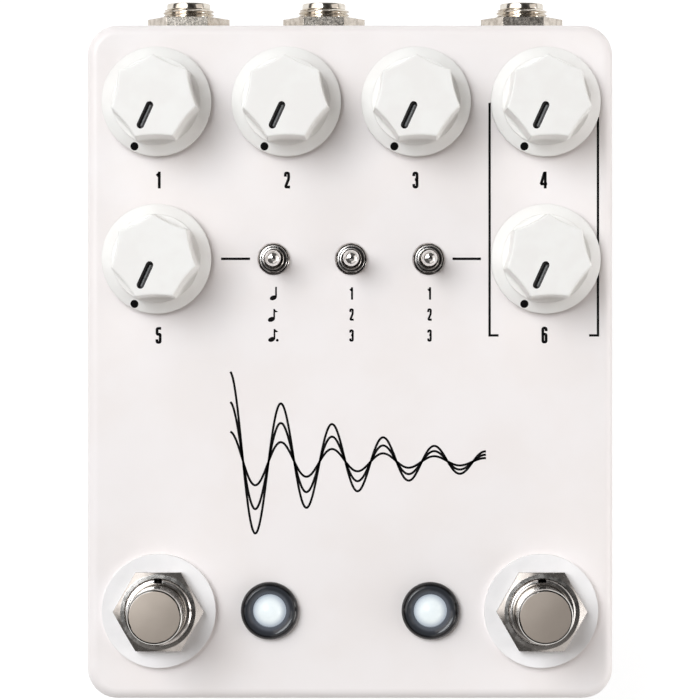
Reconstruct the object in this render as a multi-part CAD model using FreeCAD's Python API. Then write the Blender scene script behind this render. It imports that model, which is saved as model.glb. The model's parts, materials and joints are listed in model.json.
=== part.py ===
import FreeCAD, Part
import math
import os

from FreeCAD import Vector

# A delay effects pedal, in millimetres. +X is to the player's right, +Y points at the rear wall with the
# jacks, and +Z is up. Every piece is drawn from the middle of the box's top face, so z = 0 is the panel and
# depths are negative. At the end all are lifted together, until the rubber feet stand on z = 0 and the
# origin is under the middle of the pedal, with the jacks counted in its length.

# Clearances
FIT = 0.05                      # radial, between still pieces that slide together once
RUNNING = 0.04                  # radial, round a shaft or plunger that moves
AIR = 0.3                       # between pieces that pass each other without touching
EDGE_PICK = 0.01                # slack in picking a shape's edges by their height

# Box, bottom plate, screws and feet
BOX_WIDTH = 94.0
BOX_LENGTH = 120.5
BOX_HEIGHT = 35.0
SIDE_WALL = 2.5
TOP_WALL = 2.5
BOX_CORNER_RADIUS = 5.4
BOX_EDGE_RADIUS = 1.8
PLATE_THICKNESS = 2.2
PLATE_LIP_HEIGHT = 1.6
PLATE_LIP_WIDTH = 1.5
SCREW_RADIUS = 1.6
SCREW_DEPTH = 9.0               # in its boss
SCREW_HEAD_RADIUS = 3.1
SCREW_HEAD_HEIGHT = 1.6
SCREW_SLOT_LENGTH = 4.0
SCREW_SLOT_WIDTH = 0.9
SCREW_SLOT_DEPTH = 1.0
BOSS_WALL = 2.0                 # round a screw's hole
BOSS_MERGE = 1.2                # how far a boss sinks into the walls
FOOT_RADIUS = 5.75
FOOT_HEIGHT = 2.8
FOOT_EDGE_RADIUS = 0.8
FOOT_INSET_X = 13.0
FOOT_INSET_Y = 17.0

# Places of the controls on the panel, in from the box's edges
CONTROLS_SHIFT_X = 0.2          # of the knobs and toggles, off the middle
KNOB_INSET_X = 12.3
KNOB_INSET_Y = 13.85
KNOB_ROW_SPACING = 28.05
KNOB_COLUMN_COUNT = 4
TOGGLE_PITCH = 13.85
FOOTSWITCH_INSET_X = 12.9
FOOTSWITCH_INSET_Y = 15.8
LIGHT_SPACING = 28.7

# Places of the sockets along the rear wall, in from the box's sides
LEFT_JACK_INSET = 17.3
RIGHT_JACK_INSET = 15.4
JACK_PITCH = 24.9               # from the left jack to the next

# Knob: a seven-fluted grip on a round skirt
KNOB_GAP = 0.6                  # under the skirt
KNOB_HEIGHT = 11.8
SKIRT_RADIUS = 9.75
SKIRT_RIM_HEIGHT = 1.5
GRIP_FOOT_RADIUS = 7.9          # where the grip's lobes meet the skirt
GRIP_FOOT_HEIGHT = 2.7
GRIP_TOP_RADIUS = 7.6
GRIP_EDGE_RADIUS = 0.35
FLUTE_COUNT = 7
FLUTE_RADIUS = 20.0
FLUTE_DEPTH = 0.95              # at the top, in from the lobes
FLUTE_DRAFT = 0.15              # how much shallower a flute is at its foot
FLUTE_FLARE = 0.5
POINTER_ANGLE = -114.5          # degrees from +X, over one of the lobes
POINTER_START = 0.85
POINTER_END = 6.0
POINTER_WIDTH = 1.15
POINTER_DEPTH = 0.4
SET_SCREW_RADIUS = 1.5
SET_SCREW_LENGTH = 3.0
SET_SCREW_SOCKET = 1.5
SET_SCREW_HEIGHT = 7.0

# The chamfer of every hex nut but the jacks' thin ones
NUT_FACE_SHARE = 0.956          # of its width across flats, the flat circle left on its top
NUT_CHAMFER_ANGLE = 30          # degrees

# Potentiometer
SHAFT_RADIUS = 3.0
SHAFT_HEIGHT = 10.2
POT_BUSHING_WALL = 0.46
POT_BUSHING_HEIGHT = 4.6
POT_WIDTH = 9.5
POT_LENGTH = 11.0
POT_DEPTH = 6.9
POT_ROOF = 1.5
ROTOR_RADIUS = 3.9
ROTOR_THICKNESS = 1.4
ROTOR_STUB_RADIUS = 1.5
WAFER_THICKNESS = 2.0
POT_NUT_FLATS = 10.0
POT_NUT_HEIGHT = 2.0
POT_WASHER_RADIUS = 6.2
POT_WASHER_THICKNESS = 0.5

# Legs soldered in the boards, three to a potentiometer or toggle and two to a footswitch
LEG_RADIUS = 0.4
LEG_PITCH = 2.5
POT_LEG_INSET = 1.2             # from the wafer's front edge

# Toggle switch
TOGGLE_THREAD_RADIUS = 2.8
TOGGLE_FLAT_DEPTH = 0.45
TOGGLE_MOUTH_HEIGHT = 1.3
TOGGLE_MOUTH_CHAMFER = 0.4
TOGGLE_GROOVE_RADIUS = 2.1      # of the ring cut in the mouth, to its middle
TOGGLE_GROOVE_WIDTH = 0.2
TOGGLE_GROOVE_DEPTH = 0.5
TOGGLE_FLANGE_THICKNESS = 0.6
TOGGLE_BALL_RADIUS = 1.6
TOGGLE_BALL_DEPTH = 2.2         # below the bushing's mouth
TOGGLE_SEAT_HEIGHT = 0.45       # above the ball's middle, where the bore narrows to keep the ball in
TOGGLE_NECK_RADIUS = 1.15
TOGGLE_TIP_RADIUS = 1.42
TOGGLE_REACH = 7.2              # tip above the mouth
TOGGLE_TAIL_RADIUS = 0.8
TOGGLE_TAIL_REACH = 4.0         # below the bushing
TOGGLE_TILT = 12.5              # degrees each way
TOGGLE_WIDTH = 8.0
TOGGLE_LENGTH = 10.0

# Footswitch
FOOTSWITCH_THREAD_RADIUS = 5.95
FOOTSWITCH_THREAD_SHOW = 0.5    # thread above the nut
FOOTSWITCH_CHAMFER = 0.35
FOOTSWITCH_NUT_FLATS = 14.0
FOOTSWITCH_NUT_HEIGHT = 2.6
FOOTSWITCH_WASHER_RADIUS = 10.15
FOOTSWITCH_WASHER_THICKNESS = 1.7
INNER_NUT_HEIGHT = 2.0
KEYWAY_WIDTH = 1.55
KEYWAY_DEPTH = 0.8
BUTTON_RADIUS = 4.85
BUTTON_EDGE_RADIUS = 0.45
BUTTON_CROWN = 0.12
BUTTON_HEIGHT = 16.0
BUTTON_TRAVEL = 3.0
SWITCH_WIDTH = 17.5
SWITCH_LENGTH = 13.8
SWITCH_FLOOR = 1.5
SWITCH_FLANGE_RADIUS = 6.9
SWITCH_FLANGE_THICKNESS = 1.0
PLUNGER_FLANGE_RADIUS = 5.4
PLUNGER_FLANGE_THICKNESS = 1.6
SPRING_RADIUS = 4.2             # to the middle of the wire
SPRING_WIRE_RADIUS = 0.4
SPRING_TURNS = 5
SPRING_SPARE = 0.5              # left between its turns with the button down
SWITCH_LEG_SPACING = 10.0

# Status light
BEZEL_RADIUS = 5.15
BEZEL_HEIGHT = 2.0              # of its crest
BEZEL_RIM_HEIGHT = 0.9
BEZEL_CREST_RADIUS = 4.2
BEZEL_LIP_HEIGHT = 0.9          # where the lip inside the crest meets the lens
BEZEL_BULGE = 0.2               # of both slopes, out of straight cones
BEZEL_BARREL_WALL = 0.6
BEZEL_BARREL_DEPTH = 7.0
LENS_RADIUS = 2.9
LENS_HEIGHT = 2.7
LENS_SEAT_DEPTH = 5.0
LENS_FLANGE_WIDTH = 0.4
LENS_FLANGE_THICKNESS = 1.0
LEAD_RADIUS = 0.25
LEAD_SPACING = 2.54
RETAINER_WALL = 1.2
RETAINER_HEIGHT = 3.0

# Jack for a 6.35 mm plug
JACK_BORE_RADIUS = 3.25
JACK_THREAD_RADIUS = 4.7
JACK_CROWN_RADIUS = 4.0
JACK_CROWN_LENGTH = 1.2
JACK_REACH = 5.5                # out of the rear wall
JACK_NUT_FLATS = 13.0
JACK_NUT_HEIGHT = 2.15
JACK_WASHER_RADIUS = 7.0
JACK_WASHER_THICKNESS = 0.5
JACK_BODY_WIDTH = 13.2
JACK_BODY_HEIGHT = 12.0
JACK_BODY_LENGTH = 25.0
JACK_BODY_WALL = 2.0
JACK_FRONT_WALL = 2.5
CONTACT_WIDTH = 2.4
CONTACT_THICKNESS = 0.3
CONTACT_DIP = 0.35
TIP_CONTACT_LENGTH = 12.0
SLEEVE_CONTACT_LENGTH = 5.0

# Flush socket for a 5.5 mm power plug
POWER_BODY_WIDTH = 11.0
POWER_BODY_LENGTH = 14.0
POWER_BODY_DROP = 5.5           # below the plug's axis
POWER_NOSE_RADIUS = 5.2
POWER_NOSE_RECESS = 0.3
POWER_BORE_RADIUS = 3.15
POWER_BORE_DEPTH = 10.0
POWER_PIN_RADIUS = 1.0
POWER_PIN_LENGTH = 9.0
POWER_PIN_SHANK_RADIUS = 1.4

# Circuit boards, and what the main one carries underneath: (x, y, width, length, height) of a chip and
# (x, y, radius, height) of a capacitor, with y from the board's front edge
BOARD_THICKNESS = 1.6
BOARD_MARGIN = 1.5              # inside the walls
SWITCH_BOARD_LENGTH = 39.8
BOARD_OVERLAP = 3.5
HEADER_LENGTH = 20.3
HEADER_WIDTH = 2.5
CHIPS = (
    (-4.0, 26.0, 12.0, 12.0, 1.4),
    (14.0, 27.0, 7.5, 10.0, 2.0),
    (-20.0, 29.0, 4.0, 5.0, 1.5),
    (-20.0, 17.0, 4.0, 5.0, 1.5),
    (26.0, 29.0, 4.0, 5.0, 1.5),
    (26.0, 17.0, 4.0, 5.0, 1.5),
    (2.0, 11.0, 6.0, 5.0, 1.6),
)
CAPACITORS = (
    (-33.0, 24.0, 3.15, 7.7),
    (-33.0, 14.0, 3.15, 7.7),
    (15.0, 11.0, 4.0, 8.0),
    (35.0, 24.0, 3.15, 7.7),
    (35.0, 14.0, 3.15, 7.7),
)

# Heights that follow from the sizes
BOX_BOTTOM = -BOX_HEIGHT
PLATE_BOTTOM = BOX_BOTTOM - PLATE_THICKNESS
ROOF = -TOP_WALL
POT_BOTTOM = ROOF - POT_DEPTH
MAIN_BOARD_TOP = POT_BOTTOM - WAFER_THICKNESS
MAIN_BOARD_BOTTOM = MAIN_BOARD_TOP - BOARD_THICKNESS
SOCKETS_Z = MAIN_BOARD_BOTTOM - JACK_BODY_HEIGHT / 2
JACK_CEILING = MAIN_BOARD_BOTTOM - JACK_BODY_WALL
POWER_BODY_BOTTOM = SOCKETS_Z - POWER_BODY_DROP
TOGGLE_BODY_TOP = ROOF - TOGGLE_FLANGE_THICKNESS
TOGGLE_PIVOT = TOGGLE_MOUTH_HEIGHT - TOGGLE_BALL_DEPTH
SWITCH_FLANGE_TOP = ROOF - INNER_NUT_HEIGHT
SWITCH_TOP = SWITCH_FLANGE_TOP - SWITCH_FLANGE_THICKNESS
SPRING_TOP = SWITCH_TOP - PLUNGER_FLANGE_THICKNESS
SPRING_HEIGHT = BUTTON_TRAVEL + 2 * SPRING_WIRE_RADIUS * (SPRING_TURNS + 1) + SPRING_SPARE
SPRING_BOTTOM = SPRING_TOP - SPRING_HEIGHT
SWITCH_BOARD_TOP = SPRING_BOTTOM - SWITCH_FLOOR
SWITCH_BOARD_BOTTOM = SWITCH_BOARD_TOP - BOARD_THICKNESS
FOOTSWITCH_NUT_TOP = FOOTSWITCH_WASHER_THICKNESS + FOOTSWITCH_NUT_HEIGHT
FOOTSWITCH_THREAD_TOP = FOOTSWITCH_NUT_TOP + FOOTSWITCH_THREAD_SHOW

# Depths of the sockets that follow from the sizes, from the rear wall's face
JACK_CAVITY_END = -SIDE_WALL - JACK_BODY_LENGTH + JACK_BODY_WALL
JACK_CAVITY_START = -SIDE_WALL - JACK_FRONT_WALL
TIP_LEG_DEPTH = JACK_CAVITY_END + 2 * CONTACT_WIDTH
SLEEVE_LEG_DEPTH = JACK_CAVITY_START - SLEEVE_CONTACT_LENGTH / 2
POWER_NOSE_END = -POWER_NOSE_RECESS
POWER_BORE_END = POWER_NOSE_END - POWER_BORE_DEPTH
POWER_BODY_END = -SIDE_WALL - POWER_BODY_LENGTH

# Radii and angles that follow from the sizes
POT_BUSHING_RADIUS = SHAFT_RADIUS + RUNNING + POT_BUSHING_WALL
BOSS_RADIUS = SCREW_RADIUS + BOSS_WALL
BOSS_INSET = SIDE_WALL - BOSS_MERGE + BOSS_RADIUS
BEZEL_BARREL_RADIUS = LENS_RADIUS + LENS_FLANGE_WIDTH + FIT + BEZEL_BARREL_WALL

# Places that follow from the sizes, as (x, y)
REAR_Y = BOX_LENGTH / 2
REAR_INSIDE_Y = REAR_Y - SIDE_WALL
REAR_KNOBS_Y = REAR_Y - KNOB_INSET_Y
FRONT_KNOBS_Y = REAR_KNOBS_Y - KNOB_ROW_SPACING
FOOTSWITCHES_Y = FOOTSWITCH_INSET_Y - BOX_LENGTH / 2
FOOTSWITCH_X = BOX_WIDTH / 2 - FOOTSWITCH_INSET_X
KNOB_PITCH = (BOX_WIDTH - 2 * KNOB_INSET_X) / (KNOB_COLUMN_COUNT - 1)
KNOB_COLUMNS = [
    CONTROLS_SHIFT_X + KNOB_INSET_X - BOX_WIDTH / 2 + KNOB_PITCH * column
    for column in range(KNOB_COLUMN_COUNT)
]
KNOB_PLACES = [(x, REAR_KNOBS_Y) for x in KNOB_COLUMNS]
KNOB_PLACES += [(KNOB_COLUMNS[0], FRONT_KNOBS_Y), (KNOB_COLUMNS[-1], FRONT_KNOBS_Y)]
TOGGLE_PLACES = [(CONTROLS_SHIFT_X + TOGGLE_PITCH * place, FRONT_KNOBS_Y) for place in (-1, 0, 1)]
FOOTSWITCH_PLACES = {"left": (-FOOTSWITCH_X, FOOTSWITCHES_Y), "right": (FOOTSWITCH_X, FOOTSWITCHES_Y)}
LIGHT_PLACES = [(side * LIGHT_SPACING / 2, FOOTSWITCHES_Y) for side in (-1, 1)]
LEFT_JACK_X = LEFT_JACK_INSET - BOX_WIDTH / 2
RIGHT_JACK_X = BOX_WIDTH / 2 - RIGHT_JACK_INSET
JACK_XS = (LEFT_JACK_X, LEFT_JACK_X + JACK_PITCH, RIGHT_JACK_X)
POWER_SOCKET_X = (JACK_XS[1] + JACK_XS[2]) / 2
POWER_SLOT_Y = (REAR_Y + POWER_BORE_END, REAR_INSIDE_Y - SIDE_WALL)
BOARD_X = (BOARD_MARGIN + SIDE_WALL - BOX_WIDTH / 2, BOX_WIDTH / 2 - SIDE_WALL - BOARD_MARGIN)
BOARD_END_Y = REAR_INSIDE_Y - BOARD_MARGIN
SWITCH_BOARD_REAR_Y = SWITCH_BOARD_LENGTH - BOARD_END_Y
MAIN_BOARD_FRONT_Y = SWITCH_BOARD_REAR_Y - BOARD_OVERLAP


def four_corners(inset_x, inset_y):
    return [
        (x * (BOX_WIDTH / 2 - inset_x), y * (BOX_LENGTH / 2 - inset_y))
        for x in (-1, 1)
        for y in (-1, 1)
    ]


def in_a_row(count, pitch, y=0):
    return [((number - (count - 1) / 2) * pitch, y) for number in range(count)]


BOSS_PLACES = four_corners(BOSS_INSET, BOSS_INSET)
FOOT_PLACES = four_corners(FOOT_INSET_X, FOOT_INSET_Y)
POT_LEGS = in_a_row(3, LEG_PITCH, POT_LEG_INSET - POT_LENGTH / 2)
TOGGLE_LEGS = [(y, x) for x, y in in_a_row(3, LEG_PITCH)]
SWITCH_LEGS = in_a_row(2, SWITCH_LEG_SPACING)
LIGHT_LEADS = in_a_row(2, LEAD_SPACING)


# Shapes

def around(middle, size):
    return (middle - size / 2, middle + size / 2)


def block(x_range, y_range, z_range):
    sizes = [high - low for low, high in (x_range, y_range, z_range)]
    return Part.makeBox(*sizes, Vector(x_range[0], y_range[0], z_range[0]))


def rod(radius, bottom, top, place=(0, 0)):
    return Part.makeCylinder(radius, top - bottom, Vector(*place, bottom))


def ring(outer_radius, inner_radius, bottom, top):
    return rod(outer_radius, bottom, top).cut(rod(inner_radius, bottom, top))


def turned(outline):
    """The solid that an outline sweeps round the Z axis. Its steps are (radius, z) points and arcs."""
    here = start = Vector(outline[0][0], 0, outline[0][1])
    edges = []
    for step in outline[1:] + [outline[0]]:
        if isinstance(step[0], tuple):
            middle, end = (Vector(radius, 0, z) for radius, z in step)
            edges.append(Part.Arc(here, middle, end).toShape())
        else:
            end = Vector(step[0], 0, step[1])
            edges.append(Part.LineSegment(here, end).toShape())
        here = end
    return Part.Face(Part.Wire(edges)).revolve(Vector(0, 0, 0), Vector(0, 0, 1), 360)


def arc_step(centre, radius, from_degrees, to_degrees):
    """An arc in an outline: its middle and its end, round a centre."""
    angles = (math.radians((from_degrees + to_degrees) / 2), math.radians(to_degrees))
    return tuple(
        (centre[0] + radius * math.cos(angle), centre[1] + radius * math.sin(angle)) for angle in angles
    )


def crown_step(radius, height, crown):
    """A shallow dome in an outline, from its rim at a radius to its middle at a height."""
    sphere_radius = (radius**2 + crown**2) / (2 * crown)
    halfway = height - sphere_radius + math.sqrt(sphere_radius**2 - radius**2 / 4)
    return ((radius / 2, halfway), (0, height))


def bulged_step(start, end, bulge):
    """An arc in an outline that stands out of its chord, to the right of the way from start to end."""
    across = (end[0] - start[0], end[1] - start[1])
    share = bulge / math.hypot(*across)
    middle = ((start[0] + end[0]) / 2 + across[1] * share, (start[1] + end[1]) / 2 - across[0] * share)
    return (middle, end)


def rounded_slab(width, length, corner_radius, bottom, top):
    slab = block(around(0, width), around(0, length), (bottom, top))
    upright = [edge for edge in slab.Edges if edge.BoundBox.ZLength > (top - bottom) / 2]
    return slab.makeFillet(corner_radius, upright)


def hexagon(flats, bottom, top):
    """A six-sided bar with corners on the X axis."""
    corner_radius = flats / math.sqrt(3)
    angles = [math.radians(60 * corner) for corner in range(7)]
    corners = [Vector(corner_radius * math.cos(a), corner_radius * math.sin(a), bottom) for a in angles]
    return Part.Face(Part.makePolygon(corners)).extrude(Vector(0, 0, top - bottom))


def hex_nut(flats, bore_radius, bottom, top):
    """A nut with its upper corners chamfered."""
    corner_radius = flats / math.sqrt(3)
    face_radius = flats * NUT_FACE_SHARE / 2
    chamfer = (corner_radius - face_radius) * math.tan(math.radians(NUT_CHAMFER_ANGLE))
    cone = turned([
        (0, bottom),
        (corner_radius, bottom),
        (corner_radius, top - chamfer),
        (face_radius, top),
        (0, top),
    ])
    return hexagon(flats, bottom, top).common(cone).cut(rod(bore_radius, bottom, top))


def strip(points, thickness, x_range):
    """A bent metal strip whose upper side follows (y, z) points."""
    upper = [Vector(x_range[0], y, z) for y, z in points]
    lower = [Vector(x_range[0], y, z - thickness) for y, z in reversed(points)]
    outline = Part.makePolygon(upper + lower + upper[:1])
    return Part.Face(outline).extrude(Vector(x_range[1] - x_range[0], 0, 0))


def joined(shapes):
    return shapes[0].fuse(shapes[1:]).removeSplitter()


def moved(shape, x, y, z=0):
    return shape.translated(Vector(x, y, z))


def spun(shape, degrees):
    return shape.rotated(Vector(0, 0, 0), Vector(0, 0, 1), degrees)


def at_each(shape, places):
    return [moved(shape, *place) for place in places]


def on_rear_wall(shape, x):
    """Stands a shape on the rear wall at the sockets' height, with its +Z leaving the box."""
    tipped = shape.rotated(Vector(0, 0, 0), Vector(1, 0, 0), -90)
    return moved(tipped, x, REAR_Y, SOCKETS_Z)


# Box

def enclosure():
    shell = rounded_slab(BOX_WIDTH, BOX_LENGTH, BOX_CORNER_RADIUS, BOX_BOTTOM, 0)
    rim = [edge for edge in shell.Edges if edge.BoundBox.ZMin > -EDGE_PICK]
    shell = shell.makeFillet(BOX_EDGE_RADIUS, rim)
    inside_radius = max(BOX_CORNER_RADIUS - SIDE_WALL, BOX_CORNER_RADIUS / 4)
    inside = rounded_slab(
        BOX_WIDTH - 2 * SIDE_WALL, BOX_LENGTH - 2 * SIDE_WALL, inside_radius, BOX_BOTTOM, ROOF
    )
    bosses = at_each(rod(BOSS_RADIUS, BOX_BOTTOM, ROOF / 2), BOSS_PLACES)
    shell = joined([shell.cut(inside)] + bosses)
    holes = at_each(rod(SCREW_RADIUS + FIT, BOX_BOTTOM, BOX_BOTTOM + SCREW_DEPTH), BOSS_PLACES)
    panel_holes = [
        (POT_BUSHING_RADIUS, KNOB_PLACES),
        (TOGGLE_THREAD_RADIUS, TOGGLE_PLACES),
        (FOOTSWITCH_THREAD_RADIUS, FOOTSWITCH_PLACES.values()),
        (BEZEL_BARREL_RADIUS, LIGHT_PLACES),
    ]
    for radius, places in panel_holes:
        holes += at_each(rod(radius + FIT, ROOF, 0), places)
    holes += [on_rear_wall(rod(JACK_THREAD_RADIUS + FIT, -SIDE_WALL, 0), x) for x in JACK_XS]
    holes.append(on_rear_wall(rod(POWER_NOSE_RADIUS + FIT, -SIDE_WALL, 0), POWER_SOCKET_X))
    return shell.cut(holes)


def bottom_plate():
    plate = rounded_slab(BOX_WIDTH, BOX_LENGTH, BOX_CORNER_RADIUS, PLATE_BOTTOM, BOX_BOTTOM)
    lip_top = BOX_BOTTOM + PLATE_LIP_HEIGHT
    lip_width = BOX_WIDTH - 2 * (SIDE_WALL + AIR)
    lip_length = BOX_LENGTH - 2 * (SIDE_WALL + AIR)
    lip = rounded_slab(lip_width, lip_length, BOX_CORNER_RADIUS, BOX_BOTTOM, lip_top)
    inside_width = around(0, lip_width - 2 * PLATE_LIP_WIDTH)
    inside_length = around(0, lip_length - 2 * PLATE_LIP_WIDTH)
    inside = block(inside_width, inside_length, (BOX_BOTTOM, lip_top))
    lip = lip.cut([inside] + at_each(rod(BOSS_RADIUS + AIR, BOX_BOTTOM, lip_top), BOSS_PLACES))
    countersink = turned([
        (0, PLATE_BOTTOM),
        (SCREW_HEAD_RADIUS + FIT, PLATE_BOTTOM),
        (SCREW_RADIUS + FIT, PLATE_BOTTOM + SCREW_HEAD_HEIGHT),
        (SCREW_RADIUS + FIT, BOX_BOTTOM),
        (0, BOX_BOTTOM),
    ])
    return joined([plate, lip]).cut(at_each(countersink, BOSS_PLACES))


def plate_screws():
    tip = BOX_BOTTOM + SCREW_DEPTH - AIR
    screw = turned([
        (0, PLATE_BOTTOM),
        (SCREW_HEAD_RADIUS, PLATE_BOTTOM),
        (SCREW_RADIUS, PLATE_BOTTOM + SCREW_HEAD_HEIGHT),
        (SCREW_RADIUS, tip - SCREW_RADIUS / 2),
        (SCREW_RADIUS / 2, tip),
        (0, tip),
    ])
    slot_length = around(0, SCREW_SLOT_LENGTH)
    slot_width = around(0, SCREW_SLOT_WIDTH)
    slot_z = (PLATE_BOTTOM, PLATE_BOTTOM + SCREW_SLOT_DEPTH)
    cross = [block(slot_length, slot_width, slot_z), block(slot_width, slot_length, slot_z)]
    return at_each(screw.cut(cross), BOSS_PLACES)


def rubber_feet():
    bottom = PLATE_BOTTOM - FOOT_HEIGHT
    flat_radius = FOOT_RADIUS - FOOT_EDGE_RADIUS
    foot = turned([
        (0, bottom),
        (flat_radius, bottom),
        arc_step((flat_radius, bottom + FOOT_EDGE_RADIUS), FOOT_EDGE_RADIUS, -90, 0),
        (FOOT_RADIUS, PLATE_BOTTOM),
        (0, PLATE_BOTTOM),
    ])
    return at_each(foot, FOOT_PLACES)


# Knobs

def knob():
    """A knob about the Z axis, with one lobe under its pointer."""
    top = KNOB_GAP + KNOB_HEIGHT
    rim = KNOB_GAP + SKIRT_RIM_HEIGHT
    foot = KNOB_GAP + GRIP_FOOT_HEIGHT
    body = turned([
        (0, KNOB_GAP),
        (SKIRT_RADIUS, KNOB_GAP),
        (SKIRT_RADIUS, rim),
        (GRIP_FOOT_RADIUS, foot),
        (GRIP_TOP_RADIUS, top),
        (0, top),
    ])
    first_flute = POINTER_ANGLE + 180 / FLUTE_COUNT
    flutes = [spun(knob_flute(rim, foot, top), first_flute + 360 * number / FLUTE_COUNT)
              for number in range(FLUTE_COUNT)]
    body = body.cut(flutes)
    crown = [edge for edge in body.Edges if edge.BoundBox.ZMin > top - EDGE_PICK]
    body = body.makeFillet(GRIP_EDGE_RADIUS, crown)
    nut_room = POT_WASHER_THICKNESS + POT_NUT_HEIGHT + AIR
    return body.cut([
        rod(POT_WASHER_RADIUS + 2 * AIR, KNOB_GAP, nut_room),
        rod(POT_BUSHING_RADIUS + AIR, KNOB_GAP, POT_BUSHING_HEIGHT + AIR),
        rod(SHAFT_RADIUS + FIT, KNOB_GAP, SHAFT_HEIGHT + FIT),
        pointer_groove(top),
        against_pointer(rod(SET_SCREW_RADIUS + FIT, SHAFT_RADIUS / 2, SKIRT_RADIUS)),
    ])


def knob_flute(rim, foot, top):
    """What one flute takes away, on the X axis: a hollow that flares out on to the skirt."""
    flute_x = GRIP_TOP_RADIUS - FLUTE_DEPTH + FLUTE_RADIUS
    floor_radius = FLUTE_RADIUS - FLUTE_DRAFT - FLUTE_FLARE
    skirt_slope = (foot - rim) / (SKIRT_RADIUS - GRIP_FOOT_RADIUS)
    floor = rim + (SKIRT_RADIUS - flute_x + floor_radius) * skirt_slope
    flute = turned([
        (0, floor),
        (floor_radius, floor),
        arc_step((floor_radius, floor + FLUTE_FLARE), FLUTE_FLARE, -90, 0),
        (FLUTE_RADIUS, top),
        (0, top),
    ])
    return moved(flute, flute_x, 0)


def pointer_groove(top):
    """The slot for the pointer's paint, in the knob's top."""
    radius = POINTER_WIDTH / 2
    start = POINTER_START + radius
    end = POINTER_END - radius
    bottom = top - POINTER_DEPTH
    slot = block((start, end), around(0, POINTER_WIDTH), (bottom, top))
    slot = joined([slot, rod(radius, bottom, top, (start, 0)), rod(radius, bottom, top, (end, 0))])
    return spun(slot, POINTER_ANGLE)


def against_pointer(shape):
    """Lays a shape made up the Z axis along the set screw's line, opposite the pointer."""
    laid = shape.rotated(Vector(0, 0, 0), Vector(0, 1, 0), 90)
    return moved(spun(laid, POINTER_ANGLE + 180), 0, 0, SET_SCREW_HEIGHT)


def set_screw():
    start = SHAFT_RADIUS + FIT
    end = start + SET_SCREW_LENGTH
    socket = hexagon(SET_SCREW_SOCKET, end - SET_SCREW_LENGTH / 2, end)
    return against_pointer(rod(SET_SCREW_RADIUS, start, end).cut(socket))


# Potentiometers

def legs(places, board_top):
    """Legs that start inside their piece and end inside the board's thickness."""
    return at_each(rod(LEG_RADIUS, board_top - BOARD_THICKNESS + AIR, board_top + AIR), places)


def leg_holes(places, board_top):
    return at_each(rod(LEG_RADIUS + FIT, board_top - BOARD_THICKNESS, board_top), places)


def pot_shaft():
    """A shaft with its rotor, which turns between the housing's roof and the wafer."""
    rotor_top = ROOF - POT_ROOF - RUNNING
    rotor_bottom = rotor_top - ROTOR_THICKNESS
    return joined([
        rod(SHAFT_RADIUS, rotor_bottom, SHAFT_HEIGHT),
        rod(ROTOR_RADIUS, rotor_bottom, rotor_top),
        rod(ROTOR_STUB_RADIUS, POT_BOTTOM + RUNNING, rotor_bottom),
    ])


def pot_housing():
    body = block(around(0, POT_WIDTH), around(0, POT_LENGTH), (POT_BOTTOM, ROOF))
    body = joined([body, rod(POT_BUSHING_RADIUS, ROOF, POT_BUSHING_HEIGHT)])
    return body.cut([
        rod(SHAFT_RADIUS + RUNNING, POT_BOTTOM, POT_BUSHING_HEIGHT),
        rod(ROTOR_RADIUS + AIR, POT_BOTTOM, ROOF - POT_ROOF),
    ])


def pot_wafer():
    """The wafer that closes a housing and carries its terminals."""
    wafer = block(around(0, POT_WIDTH), around(0, POT_LENGTH), (MAIN_BOARD_TOP, POT_BOTTOM))
    return joined([wafer] + legs(POT_LEGS, MAIN_BOARD_TOP))


def pot_nut():
    bottom = POT_WASHER_THICKNESS
    return hex_nut(POT_NUT_FLATS, POT_BUSHING_RADIUS + FIT, bottom, bottom + POT_NUT_HEIGHT)


def pot_washer():
    return ring(POT_WASHER_RADIUS, POT_BUSHING_RADIUS + FIT, 0, POT_WASHER_THICKNESS)


# Toggle switches

def tilted_reach(radius, distance):
    """How far from the Z axis a tilted lever of a radius gets, at a distance from its pivot."""
    tilt = math.radians(TOGGLE_TILT)
    return radius / math.cos(tilt) + distance * math.tan(tilt)


def toggle_lever():
    """A lever with a ball at its pivot and a tail in the housing, upright."""
    tip = TOGGLE_MOUTH_HEIGHT + TOGGLE_REACH
    shoulder = tip - TOGGLE_TIP_RADIUS
    tail = TOGGLE_BODY_TOP - TOGGLE_TAIL_REACH
    bat = turned([
        (0, TOGGLE_PIVOT),
        (TOGGLE_NECK_RADIUS, TOGGLE_PIVOT),
        (TOGGLE_NECK_RADIUS, TOGGLE_MOUTH_HEIGHT),
        (TOGGLE_TIP_RADIUS, shoulder),
        arc_step((0, shoulder), TOGGLE_TIP_RADIUS, 0, 90),
    ])
    ball = Part.makeSphere(TOGGLE_BALL_RADIUS, Vector(0, 0, TOGGLE_PIVOT))
    return joined([bat, ball, rod(TOGGLE_TAIL_RADIUS, tail, TOGGLE_PIVOT)])


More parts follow.
